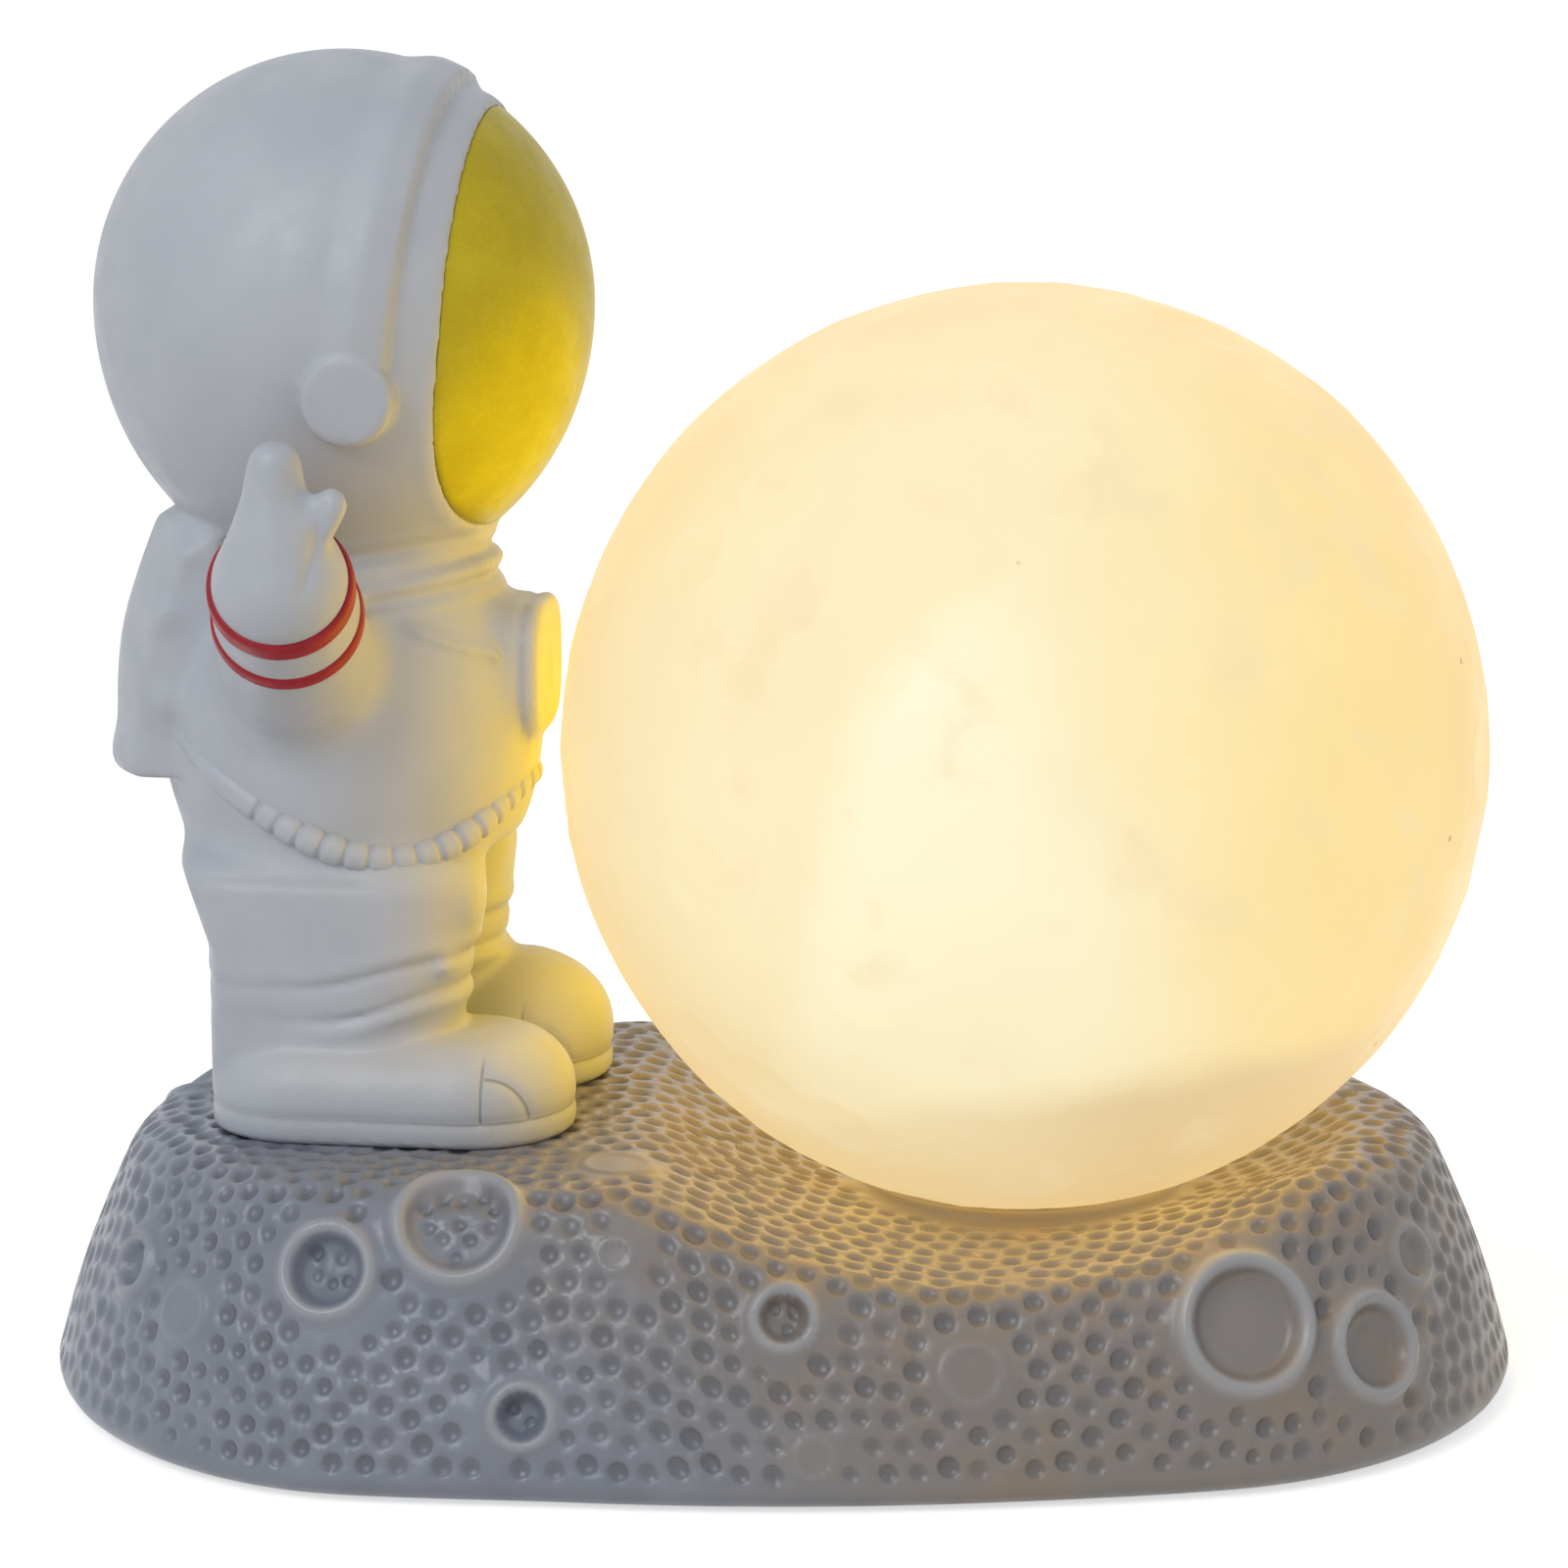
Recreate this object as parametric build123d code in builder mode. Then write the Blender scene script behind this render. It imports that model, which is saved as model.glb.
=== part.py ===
from build123d import *
import os
from math import cos, hypot, radians, sin, sqrt, tan

# Astronaut moon lamp: a figure and a glowing globe on an oval moonscape base.
# Millimetres, Z up, X along the base, the figure looks toward the globe at plus X.

os.makedirs("parts", exist_ok=True)

LOW = (Align.CENTER, Align.CENTER, Align.MIN)
HIGH = (Align.CENTER, Align.CENTER, Align.MAX)

# Base: outline, height and the wall that leans inward
BASE_LENGTH = 150.0
BASE_DEPTH = 92.0
SIDE_BULGE = 4.0
BASE_TOP_Z = 28.5
RIM_Z = 1.0
WALL_LEAN = 20.0
SHOULDER_RADIUS = 7.0
RIM_ROUND = 2.5
REBATE_INSET = 4.5
CAVITY_INSET = 12.0

# Globe and the dish it sits in
GLOBE_RADIUS = 47.0
GLOBE_WALL = 2.0
GLOBE_FOOT = 16.0
GLOBE_HOLE = 12.0
GLOBE_GAP = 0.5
DISH_RADIUS = 70.0
DISH_DEPTH = 7.0
SCOOP_RADIUS = 70.0
SCOOP_DEPTH = 8.5
SCOOP_SHIFT = 4.2
SEAT_STEP = 0.8
SEAT_MARGIN = 4.0
SEAT_FLOOR = 4.0

# Underside cover, pads and screws
COVER_THICKNESS = 3.0
COVER_RECESS = 0.2
COVER_CLEARANCE = 0.3
PAD_RADIUS = 6.0
PAD_ROUND = 0.3
PAD_END_INSET = 26.0
PAD_SIDE_INSET = 22.0
SCREW_RADIUS = 1.3
SCREW_HEAD_RADIUS = 2.6
SCREW_LENGTH = 9.0
DRIVE_WIDTH = 0.8

# Battery box with three small round cells
CELL_RADIUS = 5.2
CELL_LENGTH = 44.5
CELL_TIP_RADIUS = 1.9
CELL_TIP_LENGTH = 0.8
CELL_ROUND = 0.5
CELL_GAP = 0.4
CONTACT_THICKNESS = 0.5
CONTACT_PRESS = 1.75
CONTACT_DOT_RADIUS = 1.7
BOX_WALL = 1.4
BOX_ROUND = 0.8
BOX_END_INSET = 51.0
DOOR_THICKNESS = 2.4
DOOR_GAP = 0.3
DOOR_RECESS = 0.2
PIN_RADIUS = 1.0
PIN_LENGTH = 1.6
PIN_CLEARANCE = 0.06
NOTCH_RADIUS = 5.0
GRIP_INSET = 8.0
GRIP_PITCH = 2.4
GRIP_COUNT = 4
GRIP_WIDTH = 1.0
GRIP_LENGTH = 14.0
GRIP_DEPTH = 0.5

# Slide switch on the underside
SWITCH_X = 34.0
SWITCH_SIDE_INSET = 24.0
SWITCH_LENGTH = 14.0
SWITCH_WIDTH = 7.4
SWITCH_HEIGHT = 5.2
SWITCH_EAR = 3.4
SWITCH_EAR_THICKNESS = 1.2
SWITCH_ROUND = 0.4
SWITCH_SCREW_RADIUS = 0.9
SWITCH_HEAD_RADIUS = 1.5
SWITCH_HEAD_HEIGHT = 1.0
SWITCH_SLOT_WIDTH = 0.5
SLIDER_LENGTH = 4.2
SLIDER_WIDTH = 2.8
SLIDER_TRAVEL = 2.5
SLIDER_CLEARANCE = 0.3
SLIDER_FLANGE = 0.8
SLIDER_END_ROOM = 1.0
GROOVE_COUNT = 3
GROOVE_PITCH = 1.2
GROOVE_WIDTH = 0.5
GROOVE_DEPTH = 0.4

# Light source
HOLE_CLEARANCE = 0.3
SPIGOT_RADIUS = 9.7
FLANGE_THICKNESS = 2.5
FLANGE_ROUND = 0.8
SPIGOT_EXTRA = 1.0
STEM_RADIUS = 5.0
STEM_HEIGHT = 20.0
STEM_BORE = 2.6
BOARD_RADIUS = 9.0
BOARD_THICKNESS = 1.6
BOARD_LIP = 1.0
SHELF_THICKNESS = 1.5
CHIP_COUNT = 5
CHIP_LENGTH = 2.8
CHIP_WIDTH = 3.5
CHIP_HEIGHT = 1.2
CHIP_CHAMFER = 0.25
LEAD_RADIUS = 0.7
LEAD_BEND = 2.5
LEAD_RUN = 8.0
LEAD_SPREAD = 3.0
LEAD_PAIR = 1.3
LEAD_CLEARANCE = 2.0

# Figure: place, turn and heights from the ground up
FIGURE_X = -44.0
FIGURE_Y = 4.0
FIGURE_TURN = -8.0
BOOT_LENGTH = 37.4
BOOT_WIDTH = 18.6
BOOT_FORWARD = 5.9
SOLE_FLARE = 2.7
BOOT_SHAFT_HEIGHT = 12.5
SHAFT_TOP_TRIM = 0.4
SHAFT_FOOT_TRIM = 1.4
TOE_HEIGHT = 10.0
LEG_HEIGHT = 15.5
LEG_DEPTH = 30.0
LEG_FORWARD = -1.0
CUFF_TRIM = 1.0
HEM_FLARE = 2.5
LEG_HEM_ROUND = 3.0
CUFF_ROUND = 1.2
LEG_GAP = 0.3
TORSO_HEIGHT = 29.5
HEM_RADIUS = 17.0
BELLY_RADIUS = 19.3
CHEST_RADIUS = 17.6
NECK_RADIUS = 13.0
TORSO_HEM_ROUND = 1.4
UPPER_ROLL_RADIUS = 2.3
UPPER_ROLL_RISE = 0.8
UPPER_ROLL_INSET = 1.2
LOWER_ROLL_RADIUS = 2.2
LOWER_ROLL_DROP = 1.8
LOWER_ROLL_REACH = 0.2
COLLAR_HEIGHT = 3.0
COLLAR_INSET = 0.5
NECK_BORE_INSET = 3.0
NECK_BORE_DEPTH = 6.0
HEAD_RADIUS = 25.2
HEAD_SINK = 0.7
PEG_RADIUS = 2.0
PEG_DEPTH = 7.0

# Helmet details
VISOR_HALF_ANGLE = 58.0
VISOR_PITCH = -5.5
VISOR_THICKNESS = 2.5
BAND_WIDTH = 4.4
BAND_RISE = 1.4
BAND_FORWARD = 6.6
BAND_PITCH = -10.0
EAR_RADIUS = 4.6
EAR_RISE = 2.2
EAR_FORWARD = 5.5
EAR_DROP = 6.6
EAR_ROOT = 5.0
EAR_ROUND = 1.0

# Suit details
PACK_WIDTH = 15.0
PACK_HEIGHT = 13.5
PACK_REACH = 1.9
PACK_ROUND = 1.6
STRAP_RISE = 0.7
STRAP_WIDTH = 3.0
STRAP_PITCH = 30.0
STRAP_BACK = 3.5
STRAP_RISE_ON_PACK = 1.0
BACKPACK_WIDTH = 25.0
BACKPACK_REACH = 4.4
BACKPACK_ROOT = 10.0
BACKPACK_ROOT_Z = 6.0
BACKPACK_TOP = 3.0
BACKPACK_CREST = 0.5
BACKPACK_SLOPE = 9.0
BACKPACK_SLOPE_X = 0.5
BACKPACK_SHOULDER_X = 5.0
BACKPACK_LEDGE_Z = 12.0
BACKPACK_BOX_X = 0.9
BACKPACK_BOX_TOP = 10.5
BACKPACK_BOX_FOOT = 7.5
BACKPACK_FOOT_X = 5.5
BACKPACK_FOOT_Z = 3.5
BACKPACK_CORNER = 0.6
BACKPACK_ROUND = 1.2
BEAD_RADIUS = 2.0
BEAD_COUNT = 23
HOSE_LOW = 0.4
HOSE_FRONT_RISE = 5.8
HOSE_REAR_RISE = 12.3
HOSE_LOW_TURN = 63.0
HOSE_REAR_TURN = 165.0
HOSE_END_TURN = 148.0
SLEEVE_ROOT_RADIUS = 8.1
SLEEVE_END_RADIUS = 6.6
SLEEVE_LENGTH = 30.0
SLEEVE_END_ROUND = 6.2
SHOULDER_DROP = 12.9
SHOULDER_BACK = 2.2
STRIPE_WIDTH = 2.2
STRIPE_RISE = 0.3
STRIPE_FIRST = 18.5
STRIPE_SECOND = 25.2
HAND_LENGTH = 14.5
HAND_RADIUS = 5.6
HAND_SINK = 3.0
LEFT_SLEEVE_LENGTH = 20.0
LEFT_SLEEVE_TRIM = 0.6
LEFT_SLEEVE_ROUND = 1.2
LEFT_HAND_RADIUS = 4.3

# Craters on the base: angle around the base, height above the table, rim radius, rim width
CRATERS = [
    (227.5, 24.8, 4.6, 1.0),
    (218.0, 20.7, 4.1, 1.0),
    (198.3, 17.4, 2.6, 0.8),
    (239.4, 8.8, 2.7, 0.9),
    (270.0, 18.1, 2.8, 0.8),
    (321.3, 15.9, 5.9, 1.2),
    (332.0, 12.0, 4.4, 1.0),
    (340.0, 18.8, 2.6, 0.8),
    (158.0, 20.0, 3.8, 1.0),
    (118.0, 16.0, 4.4, 1.0),
    (62.0, 12.0, 5.2, 1.1),
    (20.0, 14.0, 3.4, 0.9),
]
CRATER_RISE = 0.7
CRATER_SINK = 1.0
CRATER_ROOT = 1.5
CRATER_MOUTH = 2.0

# Heights and places that follow from the sizes above
BASE_END_RADIUS = BASE_DEPTH / 2 - SIDE_BULGE
RIM_FLARE = RIM_ROUND * (1 / tan(radians((90.0 - WALL_LEAN) / 2)) - 1)
PAD_X = BASE_LENGTH / 2 - PAD_END_INSET
PAD_Y = BASE_DEPTH / 2 - PAD_SIDE_INSET
BOX_X = BOX_END_INSET - BASE_LENGTH / 2
SWITCH_Y = SWITCH_SIDE_INSET - BASE_DEPTH / 2
COVER_BOTTOM_Z = RIM_Z + COVER_RECESS
COVER_TOP_Z = COVER_BOTTOM_Z + COVER_THICKNESS
SEAT_Z = BASE_TOP_Z - DISH_DEPTH
SEAT_RADIUS = GLOBE_FOOT + SEAT_MARGIN
CEILING_Z = SEAT_Z - SEAT_FLOOR
BOOT_TOP_Z = BASE_TOP_Z + BOOT_SHAFT_HEIGHT
HEM_Z = BOOT_TOP_Z + LEG_HEIGHT
TORSO_TOP_Z = HEM_Z + TORSO_HEIGHT
HEAD_Z = TORSO_TOP_Z + HEAD_RADIUS - HEAD_SINK
BELLY_Z = HEM_Z + 0.3 * TORSO_HEIGHT
CHEST_Z = HEM_Z + 0.7 * TORSO_HEIGHT
SHOULDER_Z = TORSO_TOP_Z - SHOULDER_DROP
PACK_FRONT = BELLY_RADIUS + PACK_REACH
GLOBE_X = FIGURE_X + PACK_FRONT + GLOBE_GAP + GLOBE_RADIUS
GLOBE_Z = SEAT_Z + sqrt(GLOBE_RADIUS**2 - GLOBE_FOOT**2)
LEG_SIDE = (BOOT_WIDTH + LEG_GAP) / 2
CELL_PITCH = 2 * CELL_RADIUS + CELL_GAP
BOX_ROOM_LENGTH = CELL_LENGTH + 2 * (CONTACT_THICKNESS + CONTACT_PRESS)
BOX_ROOM_WIDTH = 3 * CELL_PITCH + CELL_GAP
BOX_ROOM_HEIGHT = 2 * CELL_RADIUS + 2 * CELL_GAP
CELL_Z = COVER_TOP_Z + CELL_RADIUS + CELL_GAP
BOX_FRONT_X = BOX_X + BOX_ROOM_LENGTH / 2
BOX_REAR_X = BOX_X - BOX_ROOM_LENGTH / 2
EAR_X = SWITCH_LENGTH / 2 + SWITCH_EAR / 2
DOOR_BOTTOM_Z = COVER_BOTTOM_Z + DOOR_RECESS
HINGE_X = BOX_REAR_X + DOOR_GAP + DOOR_THICKNESS / 2
HINGE_Z = DOOR_BOTTOM_Z + DOOR_THICKNESS / 2
DOOR_HALF_WIDTH = BOX_ROOM_WIDTH / 2 - DOOR_GAP
BOARD_Z = SEAT_Z + FLANGE_THICKNESS + STEM_HEIGHT

# Frames of the figure: upright, side section and head
TURN = radians(FIGURE_TURN)
FIGURE = Plane((FIGURE_X, FIGURE_Y, 0), x_dir=(cos(TURN), sin(TURN), 0), z_dir=(0, 0, 1))
SIDE_SECTION = Plane(FIGURE.origin, x_dir=FIGURE.x_dir, z_dir=-FIGURE.y_dir)
SEAM = TURN + radians(125.0)
TORSO_SECTION = Plane(
    FIGURE.origin,
    x_dir=(cos(SEAM), sin(SEAM), 0),
    z_dir=(sin(SEAM), -cos(SEAM), 0),
)
FIGURE_AXIS = Axis(FIGURE.origin, FIGURE.z_dir)


def figure_plane(point, facing):
    """Plane at a point of the figure's frame that faces along a direction of that frame."""
    origin = FIGURE.from_local_coords(Vector(point))
    direction = FIGURE.from_local_coords(Vector(facing)) - FIGURE.origin
    return Plane(origin, z_dir=direction)


def oval(plane, inset):
    """Four-arc outline of the base, drawn smaller by an even inset."""
    half_length = BASE_LENGTH / 2 - inset
    half_depth = BASE_DEPTH / 2 - inset
    end_radius = BASE_END_RADIUS - inset
    end_x = half_length - end_radius
    spread = half_depth - end_radius
    side_radius = (end_x**2 + half_depth**2 - end_radius**2) / (2 * spread)
    side_y = side_radius - half_depth
    reach = side_radius / hypot(end_x, side_y)
    join_x = end_x * reach
    join_y = side_y * reach - side_y
    with BuildSketch(plane) as outline:
        with BuildLine():
            ThreePointArc((join_x, -join_y), (half_length, 0), (join_x, join_y))
            ThreePointArc((join_x, join_y), (0, half_depth), (-join_x, join_y))
            ThreePointArc((-join_x, join_y), (-half_length, 0), (-join_x, -join_y))
            ThreePointArc((-join_x, -join_y), (0, -half_depth), (join_x, -join_y))
        make_face()
    return outline.sketch


def torso_profile(grow):
    """Half outline of the torso in an upright section, made fatter by an even amount."""
    with BuildSketch(TORSO_SECTION) as profile:
        with BuildLine():
            hem = (HEM_RADIUS + grow, HEM_Z)
            belly = (BELLY_RADIUS + grow, BELLY_Z)
            chest = (CHEST_RADIUS + grow, CHEST_Z)
            neck = (NECK_RADIUS + grow, TORSO_TOP_Z)
            front = ThreePointArc(hem, belly, chest)
            TangentArc(chest, neck, tangent=front % 1)
            Polyline(neck, (0, TORSO_TOP_Z), (0, HEM_Z), hem)
        make_face()
    return profile.sketch


# Places of the screws on the ledge under the cover
LEDGE_INSET = (REBATE_INSET + CAVITY_INSET) / 2
LEDGE_END_X = BASE_LENGTH / 2 - BASE_END_RADIUS
LEDGE_REACH = (BASE_END_RADIUS - LEDGE_INSET) * sqrt(0.5)
SCREW_POINTS = [
    (sign_x * (LEDGE_END_X + LEDGE_REACH), sign_y * LEDGE_REACH)
    for sign_x in (-1, 1)
    for sign_y in (-1, 1)
]
PEG_POINTS = [(0.0, -LEG_SIDE), (0.0, LEG_SIDE)]

# Cast base with dish, seat, cavity and crater rims
with BuildPart() as base_shell:
    extrude(oval(Plane.XY.offset(RIM_Z), -RIM_FLARE), amount=BASE_TOP_Z - RIM_Z, taper=WALL_LEAN)
    fillet(base_shell.edges().group_by(Axis.Z)[-1], SHOULDER_RADIUS)
    fillet(base_shell.edges().group_by(Axis.Z)[0], RIM_ROUND)
    with Locations((GLOBE_X, 0, SEAT_Z + sqrt(DISH_RADIUS**2 - SEAT_RADIUS**2))):
        Sphere(DISH_RADIUS, mode=Mode.SUBTRACT)
    with Locations((GLOBE_X - SCOOP_SHIFT, 0, BASE_TOP_Z - SCOOP_DEPTH + SCOOP_RADIUS)):
        Cylinder(SCOOP_RADIUS, 2 * BASE_DEPTH, rotation=(90, 0, 0), mode=Mode.SUBTRACT)
    with Locations((GLOBE_X, 0, CEILING_Z)):
        Cylinder(GLOBE_FOOT + SEAT_STEP, SEAT_Z - CEILING_Z, align=LOW)
    extrude(oval(Plane.XY, CAVITY_INSET), amount=CEILING_Z, mode=Mode.SUBTRACT)
    extrude(oval(Plane.XY, REBATE_INSET), amount=COVER_TOP_Z, mode=Mode.SUBTRACT)
    with Locations((GLOBE_X, 0, CEILING_Z)):
        Cylinder(SPIGOT_RADIUS + HOLE_CLEARANCE, SEAT_Z, align=LOW, mode=Mode.SUBTRACT)
    with Locations(*[(x, y, COVER_TOP_Z) for x, y in SCREW_POINTS]):
        Cylinder(SCREW_RADIUS, SCREW_LENGTH - COVER_THICKNESS, align=LOW, mode=Mode.SUBTRACT)
    with BuildSketch(FIGURE.offset(BASE_TOP_Z)):
        with Locations(*PEG_POINTS):
            Circle(PEG_RADIUS)
    extrude(amount=-PEG_DEPTH, mode=Mode.SUBTRACT)
    for angle, height, ring, rim in CRATERS:
        outward = Vector(cos(radians(angle)), sin(radians(angle)), 0)
        start = Vector(0, 0, height)
        hits = base_shell.part.find_intersection_points(Axis(start, outward))
        spot, facing = max(hits, key=lambda hit: hit[0].dot(outward))
        crater = Plane(spot, z_dir=facing)
        with Locations(crater.offset(-CRATER_ROOT)):
            Cylinder(ring + 0.5 * rim, CRATER_ROOT + CRATER_RISE, align=LOW)
        with Locations(crater.offset(-CRATER_SINK)):
            Cone(
                ring - 1.3 * rim,
                ring - 0.4 * rim,
                CRATER_SINK + CRATER_MOUTH,
                align=LOW,
                mode=Mode.SUBTRACT,
            )

# Cover plate with battery window, switch slot and screw holes
with BuildPart() as bottom_cover:
    extrude(
        oval(Plane.XY.offset(COVER_BOTTOM_Z), REBATE_INSET + COVER_CLEARANCE),
        amount=COVER_THICKNESS,
    )
    with Locations((BOX_X, 0, COVER_BOTTOM_Z)):
        Box(BOX_ROOM_LENGTH, BOX_ROOM_WIDTH, COVER_THICKNESS, align=LOW, mode=Mode.SUBTRACT)
    with Locations((HINGE_X, 0, HINGE_Z)):
        Cylinder(
            PIN_RADIUS + PIN_CLEARANCE,
            BOX_ROOM_WIDTH + 2 * PIN_LENGTH,
            rotation=(90, 0, 0),
            mode=Mode.SUBTRACT,
        )
    with Locations((BOX_FRONT_X, 0, COVER_BOTTOM_Z)):
        Cylinder(NOTCH_RADIUS, COVER_THICKNESS / 2, align=LOW, mode=Mode.SUBTRACT)
    with Locations((SWITCH_X, SWITCH_Y, COVER_BOTTOM_Z)):
        Box(
            SLIDER_LENGTH + SLIDER_TRAVEL + 2 * SLIDER_CLEARANCE,
            SLIDER_WIDTH + 2 * SLIDER_CLEARANCE,
            COVER_THICKNESS,
            align=LOW,
            mode=Mode.SUBTRACT,
        )
        Box(SWITCH_LENGTH, SWITCH_WIDTH, COVER_THICKNESS / 3, align=LOW, mode=Mode.SUBTRACT)
    with Locations(*[(x, y, COVER_BOTTOM_Z) for x, y in SCREW_POINTS]):
        Cylinder(SCREW_RADIUS, COVER_THICKNESS, align=LOW, mode=Mode.SUBTRACT)
        Cone(
            SCREW_HEAD_RADIUS,
            SCREW_RADIUS,
            SCREW_HEAD_RADIUS - SCREW_RADIUS,
            align=LOW,
            mode=Mode.SUBTRACT,
        )
    with Locations(
        (SWITCH_X - EAR_X, SWITCH_Y, COVER_TOP_Z),
        (SWITCH_X + EAR_X, SWITCH_Y, COVER_TOP_Z),
    ):
        Cylinder(SWITCH_SCREW_RADIUS, COVER_THICKNESS / 2, align=HIGH, mode=Mode.SUBTRACT)

# Countersunk cover screws with a cross drive
with BuildPart() as cover_screws:
    with Locations(*[(x, y, COVER_BOTTOM_Z) for x, y in SCREW_POINTS]):
        Cylinder(SCREW_RADIUS, SCREW_LENGTH, align=LOW)
        Cone(
            SCREW_HEAD_RADIUS,
            SCREW_RADIUS,
            SCREW_HEAD_RADIUS - SCREW_RADIUS,
            align=LOW,
        )
        Box(2.4 * SCREW_RADIUS, DRIVE_WIDTH, DRIVE_WIDTH, align=LOW, mode=Mode.SUBTRACT)
        Box(DRIVE_WIDTH, 2.4 * SCREW_RADIUS, DRIVE_WIDTH, align=LOW, mode=Mode.SUBTRACT)

# Soft pads, the only pieces that touch the table
with BuildPart() as foot_pads:
    with Locations(*[(x * PAD_X, y * PAD_Y, 0) for x in (-1, 1) for y in (-1, 1)]):
        Cylinder(PAD_RADIUS, COVER_BOTTOM_Z, align=LOW)
    fillet(foot_pads.edges().group_by(Axis.Z)[0], PAD_ROUND)

# Battery box, open toward the cover
with BuildPart() as battery_box:
    with Locations((BOX_X, 0, COVER_TOP_Z)):
        Box(
            BOX_ROOM_LENGTH + 2 * BOX_WALL,
            BOX_ROOM_WIDTH + 2 * BOX_WALL,
            BOX_ROOM_HEIGHT + BOX_WALL,
            align=LOW,
        )
    fillet(battery_box.edges().group_by(Axis.Z)[-1], BOX_ROUND)
    with Locations((BOX_X, 0, COVER_TOP_Z)):
        Box(BOX_ROOM_LENGTH, BOX_ROOM_WIDTH, BOX_ROOM_HEIGHT, align=LOW, mode=Mode.SUBTRACT)
    with Locations(
        (BOX_FRONT_X, -CELL_PITCH, CELL_Z),
        (BOX_REAR_X, CELL_PITCH, CELL_Z),
    ):
        Cylinder(LEAD_RADIUS, 4 * BOX_WALL, rotation=(0, 90, 0), mode=Mode.SUBTRACT)

# Door of the battery box with two hinge pins
with BuildPart() as battery_door:
    with BuildSketch(Plane.XZ.offset(-DOOR_HALF_WIDTH)):
        with BuildLine():
            far_x = BOX_FRONT_X - DOOR_GAP
            low_z = DOOR_BOTTOM_Z
            high_z = DOOR_BOTTOM_Z + DOOR_THICKNESS
            Polyline((HINGE_X, low_z), (far_x, low_z), (far_x, high_z), (HINGE_X, high_z))
            ThreePointArc(
                (HINGE_X, high_z),
                (HINGE_X - DOOR_THICKNESS / 2, HINGE_Z),
                (HINGE_X, low_z),
            )
        make_face()
    extrude(amount=2 * DOOR_HALF_WIDTH)
    with Locations((HINGE_X, 0, HINGE_Z)):
        Cylinder(
            PIN_RADIUS,
            2 * (DOOR_HALF_WIDTH + PIN_LENGTH),
            rotation=(90, 0, 0),
        )
    with Locations((BOX_FRONT_X - GRIP_INSET, 0, DOOR_BOTTOM_Z)):
        with GridLocations(GRIP_PITCH, 0, GRIP_COUNT, 1):
            Box(GRIP_WIDTH, GRIP_LENGTH, GRIP_DEPTH, align=LOW, mode=Mode.SUBTRACT)

# Three round cells, neighbours the other way round
with BuildPart(Plane((BOX_X, -CELL_PITCH, CELL_Z), z_dir=(1, 0, 0))) as battery_cell_1:
    with Locations((0, 0, -CELL_LENGTH / 2)):
        Cylinder(CELL_RADIUS, CELL_LENGTH - CELL_TIP_LENGTH, align=LOW)
    fillet(battery_cell_1.edges().filter_by(GeomType.CIRCLE), CELL_ROUND)
    with Locations((0, 0, CELL_LENGTH / 2)):
        Cylinder(CELL_TIP_RADIUS, 2 * CELL_TIP_LENGTH, align=HIGH)

with BuildPart(Plane((BOX_X, 0, CELL_Z), z_dir=(-1, 0, 0))) as battery_cell_2:
    with Locations((0, 0, -CELL_LENGTH / 2)):
        Cylinder(CELL_RADIUS, CELL_LENGTH - CELL_TIP_LENGTH, align=LOW)
    fillet(battery_cell_2.edges().filter_by(GeomType.CIRCLE), CELL_ROUND)
    with Locations((0, 0, CELL_LENGTH / 2)):
        Cylinder(CELL_TIP_RADIUS, 2 * CELL_TIP_LENGTH, align=HIGH)

with BuildPart(Plane((BOX_X, CELL_PITCH, CELL_Z), z_dir=(1, 0, 0))) as battery_cell_3:
    with Locations((0, 0, -CELL_LENGTH / 2)):
        Cylinder(CELL_RADIUS, CELL_LENGTH - CELL_TIP_LENGTH, align=LOW)
    fillet(battery_cell_3.edges().filter_by(GeomType.CIRCLE), CELL_ROUND)
    with Locations((0, 0, CELL_LENGTH / 2)):
        Cylinder(CELL_TIP_RADIUS, 2 * CELL_TIP_LENGTH, align=HIGH)

# Contact plates at both ends of the box, each with pressed dots
CONTACT_HEIGHT = 1.4 * CELL_RADIUS
with BuildPart(Plane((BOX_FRONT_X, 0, CELL_Z), z_dir=(-1, 0, 0))) as contacts_front:
    with Locations((0, -CELL_PITCH, 0)):
        Box(CONTACT_HEIGHT, CELL_PITCH * 0.8, CONTACT_THICKNESS, align=LOW)
    with Locations((0, CELL_PITCH / 2, 0)):
        Box(CONTACT_HEIGHT, CELL_PITCH * 1.8, CONTACT_THICKNESS, align=LOW)
    with Locations((0, -CELL_PITCH, 0), (0, 0, 0), (0, CELL_PITCH, 0)):
        Cylinder(CONTACT_DOT_RADIUS, CONTACT_THICKNESS + CONTACT_PRESS, align=LOW)

with BuildPart(Plane((BOX_REAR_X, 0, CELL_Z), z_dir=(1, 0, 0))) as contacts_rear:
    with Locations((0, CELL_PITCH, 0)):
        Box(CONTACT_HEIGHT, CELL_PITCH * 0.8, CONTACT_THICKNESS, align=LOW)
    with Locations((0, -CELL_PITCH / 2, 0)):
        Box(CONTACT_HEIGHT, CELL_PITCH * 1.8, CONTACT_THICKNESS, align=LOW)
    with Locations((0, -CELL_PITCH, 0), (0, 0, 0), (0, CELL_PITCH, 0)):
        Cylinder(CONTACT_DOT_RADIUS, CONTACT_THICKNESS + CONTACT_PRESS, align=LOW)

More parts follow.
